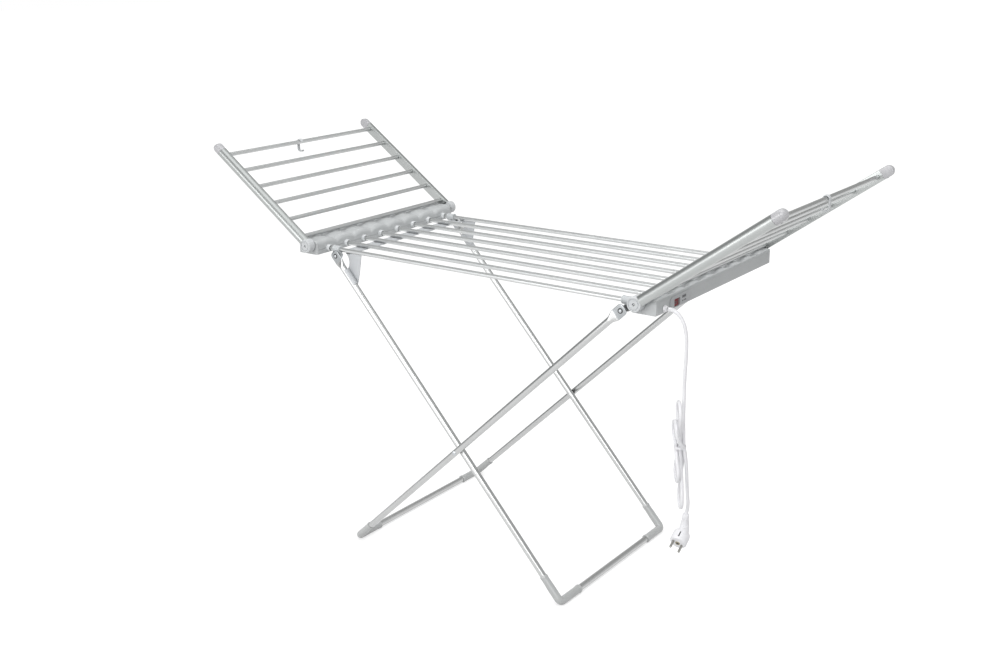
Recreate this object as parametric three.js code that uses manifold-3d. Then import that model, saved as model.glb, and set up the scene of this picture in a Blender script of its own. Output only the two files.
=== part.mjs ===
// Heated clothes airer with two folding wings on a slide-fold scissor frame.
// Millimetres, +Z up. The floor is z = 0 and the origin lies under the middle of the rack.
// X runs along the rack tubes (right end +X), Y across them (front is -Y).
import * as THREE from 'three';
import Module from 'manifold-3d';
import { mergeVertices } from 'three/addons/utils/BufferGeometryUtils.js';

const wasm = await Module();
wasm.setup();

// Driving dimensions of the whole airer
const hingeHeight = 737;        // wing hinge axes above the floor
const hingeSpan = 886;          // from the left wing hinge axis to the right one
const overallWidth = 540;       // over the outer faces of the wing rails
const seatGap = 0.3;            // between pieces that touch, and round a shaft
const overrun = 1;              // how far a cutting solid passes the face it opens
const roundSides = 16;          // facets of a bore, boss or bush
const tubeSides = 12;           // facets of a long tube

// Rack tubes
const tubeRadius = 5;
const tubeWall = 0.9;
const tubeCount = 8;
const tubeDrop = 12;            // tube axes below the hinge axes
const tubeInsertion = 16;       // length of tube held inside each end housing
const lobeMargin = 7.3;         // end of a housing beyond its last lobe

// End housings: a lower tray and a lobed cover
const housingGap = 3.1;         // end of a housing to the wing rail beside it
const housingDepth = 56.7;      // along the tubes
const hingeInset = 18.3;        // hinge axis from the housing's inner face
const trayDrop = 22.9;          // tray underside below the hinge axis
const rimRise = 8.7;            // rim of the cover above the hinge axis
const coverThickness = 5.6;     // rim of the cover above the tray's walls
const coverSheet = 1.7;         // cover's own thickness over the nose
const housingWall = 2.4;
const cornerRadius = 5;         // upright inner corners of the housing
const bossRadius = 7;           // collar round each tube
const bossLength = 5.3;
const lobeRise = 1.8;           // crest of a lobe above the rim
const valleyDrop = 3.6;         // valley between two lobes below the rim
const noseLength = 15;          // rounded inner end of a lobe
const rimWidth = 3;             // flat rim along the outer edge
const noseRise = 3.4;           // lobe above the tube collar at the inner face
const noseValleyDrop = 1.6;     // valley at the inner face below the top of the collar
const noseShares = [0, 0.08, 0.36, 1];
const stepsPerLobe = 4;

// Wings
const wingAngle = 35.4 * Math.PI / 180;   // open wings above the horizontal
const railWidth = 23;
const railDepth = 18.4;
const railFlat = 7;             // straight side of the D section before the round
const railEdge = 1;             // softened edges of the flat inner face
const capScrewLead = 26.1;      // outermost bar to the centre of the rail's round end
const capLength = 14.8;         // straight part of the end cap
const hubRadius = 13.5;
const axleRadius = 4;
const axleLength = 12;
const wingBarRadius = 5;
const wingBarCount = 6;
const firstBarReach = 29.7;     // hinge axis to the innermost bar
const outerBarReach = 325.7;    // hinge axis to the outermost bar

// Hook clip on each outermost bar
const hookWall = 2.6;
const hookWidth = 9;
const hookDrop = 25;            // bar axis to the underside of the lip
const hookLipReach = 9;         // lip inward from the bar's axis
const hookY = -9;               // place along the bar
const hookMouth = 5.5;          // snap-in mouth of the ring

// Scissor legs
const legPivotDrop = 26.5;      // leg pivots below the hinge axes
const slidePivotInset = 50.7;   // left hinge axis to the pivot of leg A, under the sliding sleeves
const fixedPivotInset = 46.1;   // right hinge axis to the pivot of leg B, under the fixed brackets
const footAInset = 203.7;       // right hinge axis to the foot of leg A
const footBInset = 92.6;        // left hinge axis to the foot of leg B
const footHeight = 8.5;         // centre of the cross bars above the floor
const legRadius = 7.5;
const legAOffset = 10.35;       // leg tubes of frame A outside the outer rack tubes
const legSpacing = 18.6;        // from the tubes of frame A to those of frame B
const plateWidth = 25;          // flattened top of a leg tube
const plateThickness = 2.5;
const plateRun = 14;            // flat plate below the pivot
const flareRun = 20;            // from flat plate to round tube
const pivotRadius = 3;
const rivetHeadRadius = 5.5;
const rivetHeadHeight = 2.2;
const crossingSpacerRadius = 6;

// Elbows, cross bars and feet
const elbowRadius = 9.1;
const elbowBend = 11;
const elbowReachA = 68;         // leg arm of an elbow of frame A
const elbowReachB = 58;
const elbowBarReach = 74;       // arm along the cross bar
const socketInset = 4;          // end of the tube short of the bend

// Sleeves and brackets round the outer rack tubes
const barrelRadius = 8.5;
const barrelLength = 21;
const barrelInset = 48;         // hinge axes to the middle of a barrel
const lugWidth = 16;
const lugThickness = 6;
const spacerRadius = 7;
const nutRadius = 8;
const nutHeight = 4;

// Lock bracket between the legs of frame A
const sheetThickness = 2;
const bandLeft = 1.3;           // band edges beyond the pivot
const bandRight = 38.3;
const webTopLeft = 26;          // gusset corners beyond the pivot
const webTopRight = 74;
const webTip = 57;
const saddleStart = 28;         // saddle along the leg tube, from the pivot
const saddleEnd = 84;
const bandEndGap = 16.7;        // end of the band to the leg tube

// Switch and cord gland on the right housing
const bezelLength = 84;
const bezelHeight = 24;
const bezelFromEnd = 92.5;      // bezel centre from the front end of the housing
const bezelDrop = 9.7;          // bezel centre below the hinge axis
const bezelProud = 1.8;
const rockerLength = 22;
const rockerHeight = 15;
const rockerFromEnd = 77;
const rockerDrop = 11.5;
const rockerProud = 2.4;
const rockerDepth = 9;
const rockerTilt = 6 * Math.PI / 180;
const switchBodyDepth = 16;
const switchBodyWall = 1.6;
const glandFromEnd = 30.5;
const glandDrop = 14;
const glandRadius = 8;
const glandLength = 9;
const glandThroatRadius = 5;

// Heating cable and mains cord
const cableRadius = 3.6;
const cordRadius = 3.5;
const cordSides = 8;
const hankSides = 6;
const hankSteps = 120;
const dropSteps = 18;

// Values worked out from the driving dimensions
const hingeX = hingeSpan / 2;
const halfWidth = overallWidth / 2;
const railInner = halfWidth - railDepth;
const housingEnd = railInner - housingGap;
const tubePitch = 2 * (housingEnd - lobeMargin) / tubeCount;
const [bezelY, rockerY, glandY] = [bezelFromEnd, rockerFromEnd, glandFromEnd].map(y => y - housingEnd);
const innerFace = hingeX - hingeInset;
const outerFace = innerFace + housingDepth;
const trayBottom = hingeHeight - trayDrop;
const rimHeight = hingeHeight + rimRise;
const trayTop = rimHeight - coverThickness;
const tubeAxis = hingeHeight - tubeDrop;
const tubeEnd = innerFace + tubeInsertion;
const outerTubeY = tubePitch * (tubeCount - 1) / 2;
const pivotHeight = hingeHeight - legPivotDrop;
const slidePivotX = slidePivotInset - hingeX;
const fixedPivotX = hingeX - fixedPivotInset;
const footAX = hingeX - footAInset;
const footBX = footBInset - hingeX;
const barrelX = hingeX - barrelInset;
const legAPlane = outerTubeY + legAOffset;   // from the middle of the airer
const legBPlane = legAPlane + legSpacing;
const bandHalfLength = legAPlane - legRadius - bandEndGap;
const capScrewReach = outerBarReach + capScrewLead;
const wingBarPitch = (outerBarReach - firstBarReach) / (wingBarCount - 1);
const tubeYs = Array.from({ length: tubeCount }, (_, i) => i * tubePitch - outerTubeY);

// Finishes
const aluminium = { color: 0xb9bcbc, roughness: 0.38, metalness: 0.9 };
const polished = { color: 0xd2d4d4, roughness: 0.22, metalness: 1 };
const greyPlastic = { color: 0xb4b8ba, roughness: 0.5, metalness: 0 };
const palePlastic = { color: 0xe2e4e6, roughness: 0.45, metalness: 0 };
const whitePlastic = { color: 0xf2f2f4, roughness: 0.45, metalness: 0 };
const redPlastic = { color: 0xa8242c, roughness: 0.3, metalness: 0 };
const pressedSteel = { color: 0xaab0b4, roughness: 0.45, metalness: 0.8 };
const redCable = { color: 0x9a4a3a, roughness: 0.7, metalness: 0 };

// Solid operations
function toSolid(geometry) {
  const bare = geometry.clone();
  bare.deleteAttribute('normal');
  bare.deleteAttribute('uv');
  const merged = mergeVertices(bare);
  const vertProperties = new Float32Array(merged.attributes.position.array);
  const triVerts = new Uint32Array(merged.index.array);
  return new wasm.Manifold(new wasm.Mesh({ numProp: 3, vertProperties, triVerts }));
}

function toGeometry(manifold) {
  const mesh = manifold.getMesh();
  const geometry = new THREE.BufferGeometry();
  geometry.setAttribute('position', new THREE.BufferAttribute(new Float32Array(mesh.vertProperties), 3));
  geometry.setIndex(new THREE.BufferAttribute(new Uint32Array(mesh.triVerts), 1));
  return geometry;
}

function join(first, ...others) {
  return toGeometry(others.reduce((sum, other) => sum.add(toSolid(other)), toSolid(first)));
}

function cut(body, ...tools) {
  return toGeometry(tools.reduce((rest, tool) => rest.subtract(toSolid(tool)), toSolid(body)));
}

// Primitive shapes placed by their limits
function box(x0, x1, y0, y1, z0, z1) {
  const geometry = new THREE.BoxGeometry(Math.abs(x1 - x0), Math.abs(y1 - y0), Math.abs(z1 - z0));
  return geometry.translate((x0 + x1) / 2, (y0 + y1) / 2, (z0 + z1) / 2);
}

function rodX(radius, x0, x1, y, z, sides = roundSides) {
  const geometry = new THREE.CylinderGeometry(radius, radius, x1 - x0, sides);
  return geometry.rotateZ(-Math.PI / 2).translate((x0 + x1) / 2, y, z);
}

function rodY(radius, y0, y1, x, z, sides = roundSides) {
  const geometry = new THREE.CylinderGeometry(radius, radius, Math.abs(y1 - y0), sides);
  return geometry.translate(x, (y0 + y1) / 2, z);
}

// A shape drawn in X and Z, given a thickness along Y
function extrudeY(shape, y0, y1, curveSegments = 8) {
  const depth = Math.abs(y1 - y0);
  const geometry = new THREE.ExtrudeGeometry(shape, { depth, bevelEnabled: false, curveSegments });
  return geometry.rotateX(Math.PI / 2).translate(0, Math.max(y0, y1), 0);
}

// A shape drawn in Y and Z, given a length along X
function extrudeX(shape, x0, x1, curveSegments = 8) {
  const geometry = new THREE.ExtrudeGeometry(shape, { depth: x1 - x0, bevelEnabled: false, curveSegments });
  const turn = new THREE.Matrix4().makeBasis(
    new THREE.Vector3(0, 1, 0), new THREE.Vector3(0, 0, 1), new THREE.Vector3(1, 0, 0));
  return geometry.applyMatrix4(turn).translate(x0, 0, 0);
}

// A closed body through rings of points, all rings with as many points
function loft(rings) {
  const sides = rings[0].length;
  const points = rings.flat();
  const index = [];
  for (let i = 0; i + 1 < rings.length; i++) {
    for (let j = 0; j < sides; j++) {
      const a = i * sides + j;
      const b = i * sides + (j + 1) % sides;
      index.push(a, b, b + sides, a, b + sides, a + sides);
    }
  }
  const last = (rings.length - 1) * sides;
  for (let j = 1; j + 1 < sides; j++) {
    index.push(0, j + 1, j, last, last + j, last + j + 1);
  }
  const geometry = new THREE.BufferGeometry().setFromPoints(points);
  geometry.setIndex(index);
  return signedVolume(points, index) < 0 ? flipped(geometry) : geometry;
}

function signedVolume(points, index) {
  let sum = 0;
  for (let i = 0; i < index.length; i += 3) {
    const [a, b, c] = [points[index[i]], points[index[i + 1]], points[index[i + 2]]];
    sum += a.dot(b.clone().cross(c));
  }
  return sum;
}

function flipped(geometry) {
  const index = Array.from(geometry.index.array);
  for (let i = 0; i < index.length; i += 3) {
    [index[i], index[i + 1]] = [index[i + 1], index[i]];
  }
  return geometry.setIndex(index);
}

function circle(radius, sides) {
  const shape = new THREE.Shape();
  for (let i = 0; i < sides; i++) {
    const angle = i / sides * 2 * Math.PI;
    const [x, y] = [radius * Math.cos(angle), radius * Math.sin(angle)];
    if (i === 0) shape.moveTo(x, y);
    else shape.lineTo(x, y);
  }
  return shape;
}

// A round tube or rod along a curve
function sweep(path, radius, sides, steps) {
  return new THREE.ExtrudeGeometry(circle(radius, sides), { steps, extrudePath: path, bevelEnabled: false });
}

const airer = new THREE.Group();

function addPiece(parent, name, geometry, finish) {
  const piece = new THREE.Mesh(geometry, new THREE.MeshStandardMaterial(finish));
  piece.name = name;
  parent.add(piece);
  return piece;
}

// End housings

// Plan of a housing with rounded upright inner corners, in X and Y
function housingPlan(inset) {
  const [x0, x1] = [innerFace + inset, outerFace - inset];
  const y = housingEnd - inset;
  const r = Math.max(cornerRadius - inset, inset);
  const plan = new THREE.Shape();
  plan.moveTo(x1, -y);
  plan.lineTo(x1, y);
  plan.lineTo(x0 + r, y);
  plan.absarc(x0 + r, y - r, r, Math.PI / 2, Math.PI, false);
  plan.absarc(x0 + r, r - y, r, Math.PI, 1.5 * Math.PI, false);
  plan.closePath();
  return plan;
}

function planSolid(inset, z0, z1) {
  const settings = { depth: z1 - z0, bevelEnabled: false, curveSegments: 4 };
  return new THREE.ExtrudeGeometry(housingPlan(inset), settings).translate(0, 0, z0);
}

function tubeHoles(radius) {
  const x0 = innerFace - bossLength - overrun;
  return tubeYs.map(y => rodX(radius, x0, tubeEnd + seatGap, y, tubeAxis, tubeSides));
}

function tubeCollars() {
  return tubeYs.map(y => rodX(bossRadius, innerFace - bossLength, innerFace + housingWall, y, tubeAxis,
    tubeSides));
}

// Boss and axle that a wing hub turns on, at the end with this sign of Y
function hingeAxle(sign) {
  const root = housingEnd - housingWall;
  const bossFace = railInner - seatGap;
  const boss = rodY(hubRadius - housingWall, sign * root, sign * bossFace, hingeX, hingeHeight);
  const shaft = rodY(axleRadius, sign * root, sign * (bossFace + axleLength), hingeX, hingeHeight);
  const besideCover = box(hingeX - hubRadius, hingeX + hubRadius, sign * (root - overrun),
    sign * (housingEnd + seatGap), trayTop, hingeHeight + hubRadius);
  return cut(join(boss, shaft), besideCover);
}

// Lower tray: open at the top, notched to half height where the tubes enter
function trayGeometry() {
  const shell = planSolid(0, trayBottom, trayTop);
  const room = planSolid(housingWall, trayBottom + housingWall, trayTop + overrun);
  const span = housingEnd - cornerRadius;
  const above = box(innerFace - bossLength - overrun, innerFace + housingWall + overrun,
    -span, span, tubeAxis, trayTop + overrun);
  const hollow = cut(join(shell, ...tubeCollars()), room, above, ...tubeHoles(tubeRadius + seatGap));
  return join(hollow, hingeAxle(-1), hingeAxle(1));
}

// Height of the lobed top at a share of the depth (0 inner face, 1 outer edge) and a place across
function coverHeight(x, y) {
  const fromInner = x - innerFace;
  const lobe = 1 - Math.min(1, Math.abs(nearestTubeOffset(y)) / (tubePitch / 2)) ** 2;
  const rise = Math.sqrt(1 - (1 - Math.min(1, fromInner / noseLength)) ** 2);
  const collarTop = tubeAxis + bossRadius;
  const valley = THREE.MathUtils.lerp(collarTop - noseValleyDrop, rimHeight - valleyDrop, rise);
  const crest = THREE.MathUtils.lerp(collarTop + noseRise, rimHeight + lobeRise, rise);
  return x > outerFace - rimWidth ? rimHeight : THREE.MathUtils.lerp(valley, crest, lobe);
}

function nearestTubeOffset(y) {
  const i = Math.round((y + outerTubeY) / tubePitch);
  const tubeY = Math.min(Math.max(i, 0), tubeCount - 1) * tubePitch - outerTubeY;
  return y - tubeY;
}

// Underside of the cover: it follows the top, but clears the tray's walls
function ceilingHeight(x, y) {
  return Math.min(trayTop + seatGap, coverHeight(x - housingWall, y) - coverSheet);
}

// A block between a level and a height given over a grid of X and Y
function heightBlock(xs, ys, bottom, heightAt) {
  const rings = ys.map(y => [
    new THREE.Vector3(xs.at(-1), y, bottom),
    new THREE.Vector3(xs[0], y, bottom),
    ...xs.map(x => new THREE.Vector3(x, y, heightAt(x, y)))]);
  return loft(rings);
}

function coverGeometry() {
  const lobeSteps = Array.from({ length: tubeCount * stepsPerLobe + 1 },
    (_, i) => (i / stepsPerLobe - tubeCount / 2) * tubePitch);
  const noseSteps = noseShares.map(share => innerFace + share * noseLength);
  const flatSteps = [outerFace - 2 * rimWidth, outerFace - rimWidth, outerFace];
  const floor = tubeAxis + seatGap;
  const y1 = housingEnd + overrun;
  const lid = heightBlock([...noseSteps, ...flatSteps], [-housingEnd, ...lobeSteps, housingEnd],
    floor, coverHeight);
  const room = heightBlock([...noseSteps.map(x => x + housingWall), outerFace + overrun],
    [-y1, ...lobeSteps, y1], trayBottom, ceilingHeight);
  const skirt = housingEnd - cornerRadius - seatGap;
  const collarStart = innerFace - bossLength - overrun;
  const under = box(collarStart, innerFace + 2 * housingWall, -y1, y1, trayBottom, floor);
  const ends = [-1, 1].map(sign => box(innerFace - overrun, outerFace + overrun,
    sign * skirt, sign * y1, trayBottom, trayTop + seatGap));
  const shell = cut(join(lid, ...tubeCollars()), under, room, ...ends, ...tubeHoles(tubeRadius + seatGap));
  const plan = planSolid(0, trayBottom, rimHeight + lobeRise + overrun);
  const collarRoom = box(collarStart, innerFace + housingWall, -skirt, skirt, trayBottom, rimHeight);
  return toGeometry(toSolid(shell).intersect(toSolid(join(plan, collarRoom))));
}

function addHousing(name, turn, geometry) {
  const end = new THREE.Group();
  end.rotation.z = turn;
  airer.add(end);
  addPiece(end, `${name}_tray`, geometry, greyPlastic);
  addPiece(end, `${name}_cover`, coverGeometry(), greyPlastic);
}

// Rack tubes and the heating cable inside them
function addRackTubes() {
  tubeYs.forEach((y, i) => {
    const bore = rodX(tubeRadius - tubeWall, -tubeEnd - overrun, tubeEnd + overrun, y, tubeAxis, tubeSides);
    const tube = cut(rodX(tubeRadius, -tubeEnd, tubeEnd, y, tubeAxis, tubeSides), bore);
    addPiece(airer, `rack_tube_${i + 1}`, tube, aluminium);
  });
}

// Half turn of cable from one tube to the next, at the housing with this sign of X
function cableTurn(sign, y0) {
  const r = tubePitch / 2;
  const arc = new THREE.CatmullRomCurve3(Array.from({ length: 9 }, (_, i) => {
    const angle = (i / 8 - 0.5) * Math.PI;
    return new THREE.Vector3(sign * (tubeEnd + r * Math.cos(angle)), y0 + r + r * Math.sin(angle), tubeAxis);
  }));
  return sweep(arc, cableRadius, hankSides, 8);
}

function heatingCable() {
  const runs = tubeYs.map(y => rodX(cableRadius, -tubeEnd - seatGap, tubeEnd + seatGap, y, tubeAxis, hankSides));
  const turns = tubeYs.slice(0, -1).map((y, i) => cableTurn(i % 2 ? 1 : -1, y));
  return join(...runs, ...turns);
}

// Switch with its bezel plate and the bare panel beside the rocker
function stadium(length, height) {
  const shape = new THREE.Shape();
  const r = height / 2;
  shape.absarc(length / 2 - r, 0, r, -Math.PI / 2, Math.PI / 2, false);
  shape.absarc(r - length / 2, 0, r, Math.PI / 2, 1.5 * Math.PI, false);
  shape.closePath();
  return shape;
}

function switchBody() {
  const z = hingeHeight - rockerDrop;
  const [halfLength, halfHeight] = [rockerLength / 2 + seatGap, rockerHeight / 2 + seatGap];
  const plate = extrudeX(stadium(bezelLength, bezelHeight), outerFace + seatGap, outerFace + bezelProud, 8)
    .translate(0, bezelY, hingeHeight - bezelDrop);
  const w = switchBodyWall;
  const body = box(outerFace - switchBodyDepth, outerFace + bezelProud / 2,
    rockerY - halfLength - w, rockerY + halfLength + w, z - halfHeight - w, z + halfHeight + w);
  const pocket = box(outerFace - rockerDepth - w, outerFace + bezelProud + overrun,
    rockerY - halfLength, rockerY + halfLength, z - halfHeight, z + halfHeight);
  return cut(join(plate, body), pocket);
}

// Opening in the tray's wall for the switch body, and the hole for the gland
function switchOpening() {
  const z = hingeHeight - rockerDrop;
  const reach = seatGap + switchBodyWall + seatGap;
  return box(outerFace - switchBodyDepth - seatGap, outerFace + overrun,
    rockerY - rockerLength / 2 - reach, rockerY + rockerLength / 2 + reach,
    z - rockerHeight / 2 - reach, z + rockerHeight / 2 + reach);
}

function glandOpening() {
  return rodX(glandThroatRadius + seatGap, outerFace - housingWall - overrun, outerFace + overrun,
    glandY, hingeHeight - glandDrop);
}

// Rocker with two flats that meet at a low ridge, turned about its pivot
function rockerGeometry() {
  const half = rockerLength / 2 - seatGap;
  const slope = half * Math.tan(rockerTilt);
  const profile = new THREE.Shape();
  profile.moveTo(rockerProud - half, slope - rockerDepth);
  profile.lineTo(half - rockerProud, slope - rockerDepth);
  profile.lineTo(half, -rockerProud);
  profile.lineTo(half, rockerProud - slope);
  profile.lineTo(0, rockerProud);
  profile.lineTo(-half, rockerProud - slope);
  profile.lineTo(-half, -rockerProud);
  profile.closePath();
  const depth = rockerHeight - 2 * seatGap;
  return new THREE.ExtrudeGeometry(profile, { depth, bevelEnabled: false }).translate(0, 0, -depth / 2);
}

function addSwitch() {
  addPiece(airer, 'switch_body', switchBody(), palePlastic);
  const rocker = addPiece(airer, 'rocker', rockerGeometry(), redPlastic);
  rocker.rotation.z = -Math.PI / 2 + rockerTilt;
  rocker.position.set(outerFace + bezelProud - rockerProud, rockerY, hingeHeight - rockerDrop);
}

function glandGeometry() {
  const shoulder = glandRadius - glandThroatRadius + cordRadius;
  const profile = [
    [0, -housingWall - overrun], [glandThroatRadius, -housingWall - overrun], [glandThroatRadius, seatGap],
    [glandRadius, seatGap], [glandRadius, glandLength / 4], [glandRadius - overrun, glandLength / 2],
    [shoulder - overrun / 2, glandLength * 3 / 4], [cordRadius + overrun, glandLength], [0, glandLength]];
  const points = profile.map(([r, h]) => new THREE.Vector2(r, h));
  return new THREE.LatheGeometry(points, roundSides).rotateZ(-Math.PI / 2)
    .translate(outerFace, glandY, hingeHeight - glandDrop);
}

// Wings

// D section of a rail: flat towards the bars, round outside
function railSection(widthShare = 1, depthShare = 1) {
  const half = railWidth / 2 * widthShare;
  const [flat, edge] = [railFlat * depthShare, railEdge * widthShare];
  const points = [[0, edge - half], [edge, -half], [flat, -half]];
  const arcSteps = 8;
  for (let i = 1; i < arcSteps; i++) {
    const angle = (i / arcSteps - 0.5) * Math.PI;
    points.push([flat + (railDepth - railFlat) * depthShare * Math.cos(angle), half * Math.sin(angle)]);
  }
  points.push([flat, half], [edge, half], [0, half - edge]);
  return points;
}

// Ring of the section at a distance from the hinge, on the rail with this sign of Y
function railRing(reach, sign, widthShare, depthShare) {
  return railSection(widthShare, depthShare)
    .map(([y, z]) => new THREE.Vector3(reach, sign * (railInner + y), z));
}

function railGeometry(sign) {
  const end = capScrewReach - capLength - seatGap;
  const solid = loft([railRing(0, sign), railRing(end, sign)]);
  const y1 = halfWidth + overrun;
  return cut(solid, rodY(hubRadius + seatGap, sign * (railInner - overrun), sign * y1, 0, 0, 2 * roundSides));
}

// Domed plastic cap on the rail's end
function capGeometry(sign) {
  const start = capScrewReach - capLength;
  const dome = [0, 24, 46, 65, 80].map(degrees => {
    const angle = degrees * Math.PI / 180;
    const reach = capScrewReach + railWidth / 2 * Math.sin(angle);
    return railRing(reach, sign, Math.cos(angle), Math.sqrt(Math.cos(angle)));
  });
  return loft([railRing(start, sign), ...dome]);
}

function hubGeometry(sign) {
  const outer = halfWidth - railEdge / 2;
  const disc = rodY(hubRadius, sign * railInner, sign * outer, 0, 0, 2 * roundSides);
  const bore = rodY(axleRadius + seatGap, sign * (railInner - overrun),
    sign * (railInner + axleLength), 0, 0);
  return cut(disc, bore);
}

// Clip round its bar with a stem on the outer side and a lip turned inward below, hanging straight down
function hookGeometry() {
  const inner = wingBarRadius + seatGap;
  const outer = inner + hookWall;
  const [y0, y1] = [-hookWidth / 2, hookWidth / 2];
  const ring = cut(rodY(outer, y0, y1, 0, 0), rodY(inner, -hookWidth, hookWidth, 0, 0));
  const mouth = box(-outer - overrun, 0, -hookWidth, hookWidth, -hookMouth, 0);
  const stem = box(inner / 2, outer - overrun, y0, y1, -hookDrop, -inner / 2);
  const clear = rodY(inner, -hookWidth, hookWidth, 0, 0);
  const lip = box(-hookLipReach, outer - overrun, y0, y1, -hookDrop, hookWall - hookDrop);
  const tip = box(-hookLipReach, hookWall - hookLipReach, y0, y1, -hookDrop, 2 * hookWall - hookDrop);
  return join(cut(ring, mouth), cut(stem, clear), lip, tip);
}

function addWing(name, turn) {
  const hinge = new THREE.Group();
  hinge.position.set(Math.cos(turn) * hingeX, 0, hingeHeight);
  hinge.rotation.z = turn;
  const wing = new THREE.Group();
  wing.rotation.y = -wingAngle;
  hinge.add(wing);
  airer.add(hinge);
  for (const [end, sign] of [['front', -Math.cos(turn)], ['rear', Math.cos(turn)]]) {
    addPiece(wing, `${name}_rail_${end}`, railGeometry(sign), aluminium);
    addPiece(wing, `${name}_cap_${end}`, capGeometry(sign), palePlastic);
    addPiece(wing, `${name}_hub_${end}`, hubGeometry(sign), greyPlastic);
  }
  const barEnd = railInner - seatGap;
  for (let i = 0; i < wingBarCount; i++) {
    const reach = outerBarReach - i * wingBarPitch;
    addPiece(wing, `${name}_bar_${i + 1}`, rodY(wingBarRadius, -barEnd, barEnd, reach, 0, tubeSides), aluminium);
  }
  const hook = addPiece(wing, `${name}_hook`, hookGeometry(), palePlastic);
  hook.position.set(outerBarReach, Math.cos(turn) * hookY, 0);
  hook.rotation.y = wingAngle;
}

// Scissor legs

// Frame with its X along a leg, from the pivot down to the foot
function legFrame(pivotX, footX) {
  const pivot = new THREE.Vector3(pivotX, 0, pivotHeight);
  const foot = new THREE.Vector3(footX, 0, footHeight);
  const along = foot.clone().sub(pivot);
  const group = new THREE.Group();
  group.position.copy(pivot);
  group.rotation.y = -Math.atan2(along.z, along.x);
  group.updateMatrixWorld();
  airer.add(group);
  return { group, length: along.length() };
}

// One ring of the leg tube: a flat plate at the top that widens from the round tube
function legRing(reach, roundShare, planeY) {
  const flatShare = 1 - roundShare;
  const tip = reach < 0 ? Math.sqrt(Math.max(0, 1 - (reach / (plateWidth / 2)) ** 2)) : 1;
  const halfWide = THREE.MathUtils.lerp(legRadius, plateWidth / 2 * tip, flatShare);
  const halfThick = THREE.MathUtils.lerp(legRadius, plateThickness / 2, flatShare);
  return Array.from({ length: tubeSides }, (_, i) => {
    const angle = (i + 0.5) / tubeSides * 2 * Math.PI;
    const [c, s] = [Math.cos(angle), Math.sin(angle)];
    const square = 1 / Math.max(Math.abs(c), Math.abs(s));
    const spread = THREE.MathUtils.lerp(1, square, flatShare);
    return new THREE.Vector3(reach, planeY + halfThick * spread * c, halfWide * spread * s);
  });
}

function legTube(length, planeY) {
  const tipShares = [-0.97, -0.8, -0.5];
  const plate = [...tipShares.map(share => share * plateWidth / 2), 0, plateRun];
  const rings = plate.map(reach => legRing(reach, 0, planeY));
  for (const share of [0.3, 0.65, 1]) {
    rings.push(legRing(plateRun + share * flareRun, share, planeY));
  }
  rings.push(legRing(length, 1, planeY));
  const hole = rodY(pivotRadius + seatGap, planeY - plateThickness, planeY + plateThickness, 0, 0);
  return cut(loft(rings), hole);
}

// Bent plastic elbow from the foot of a leg to the cross bar, worn flat where it stands on the floor
function elbowGeometry(leg, planeY, legReach) {
  const sign = Math.sign(planeY);
  const corner = new THREE.Vector3(leg.length, planeY, 0);
  const alongLeg = new THREE.Vector3(-1, 0, 0);
  const alongBar = new THREE.Vector3(0, -sign, 0);
  const at = (direction, reach) => corner.clone().addScaledVector(direction, reach);
  const bend = new THREE.QuadraticBezierCurve3(at(alongLeg, elbowBend), corner, at(alongBar, elbowBend));
  const bendSolid = sweep(bend, elbowRadius, tubeSides, 6);
  const y0 = planeY - sign * (elbowBend - overrun / 10);
  const y1 = planeY - sign * elbowBarReach;
  const barArm = rodY(elbowRadius, y0, y1, leg.length, 0, tubeSides);
  const legArm = rodX(elbowRadius, leg.length - legReach, leg.length - elbowBend + overrun / 10, planeY, 0,
    tubeSides);
  const socketEnd = elbowBend + socketInset;
  const legSocket = rodX(legRadius + seatGap, leg.length - legReach - overrun,
    leg.length - socketEnd, planeY, 0, tubeSides);
  const barSocket = rodY(legRadius + seatGap, planeY - sign * socketEnd,
    planeY - sign * (elbowBarReach + overrun), leg.length, 0, tubeSides);
  const arms = join(bendSolid, barArm, legArm).applyMatrix4(leg.group.matrixWorld);
  const foot = new THREE.Vector3(leg.length, planeY, 0).applyMatrix4(leg.group.matrixWorld);
  const reach = legReach + elbowBarReach;
  const floor = box(foot.x - reach, foot.x + reach, foot.y - reach, foot.y + reach, -reach, 0);
  const sockets = [legSocket, barSocket].map(tool => tool.applyMatrix4(leg.group.matrixWorld));
  return cut(arms, floor, ...sockets);
}

function addFrame(name, leg, plane, legReach, addOns) {
  const socketEnd = elbowBend + socketInset + seatGap;
  for (const [end, sign] of [['front', -1], ['rear', 1]]) {
    const tube = legTube(leg.length - socketEnd, sign * plane);
    addPiece(leg.group, `${name}_tube_${end}`, addOns(tube, sign), polished);
    addPiece(airer, `${name}_elbow_${end}`, elbowGeometry(leg, sign * plane, legReach), greyPlastic);
  }
  const barEnd = plane - socketEnd;
  addPiece(leg.group, `${name}_cross_bar`, rodY(legRadius, -barEnd, barEnd, leg.length, 0), polished);
}

// Where the two legs cross, as a distance down leg B from its pivot
function crossingReach(legA, legB) {
  const a = Math.atan2(pivotHeight - footHeight, footAX - slidePivotX);
  const b = Math.atan2(pivotHeight - footHeight, fixedPivotX - footBX);
  return (fixedPivotX - slidePivotX) * Math.sin(a) / Math.sin(a + b);
}

// Spacer towards leg A and rivet head outside, at the crossing on leg B
function addCrossingRivet(tube, sign, reach) {
  const inner = legAPlane + legRadius + seatGap;
  const outer = legBPlane + legRadius;
  const spacer = rodY(crossingSpacerRadius, sign * inner, sign * legBPlane, reach, 0);
  const head = rodY(rivetHeadRadius, sign * legBPlane, sign * (outer + rivetHeadHeight), reach, 0);
  return join(tube, spacer, head);
}

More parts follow.
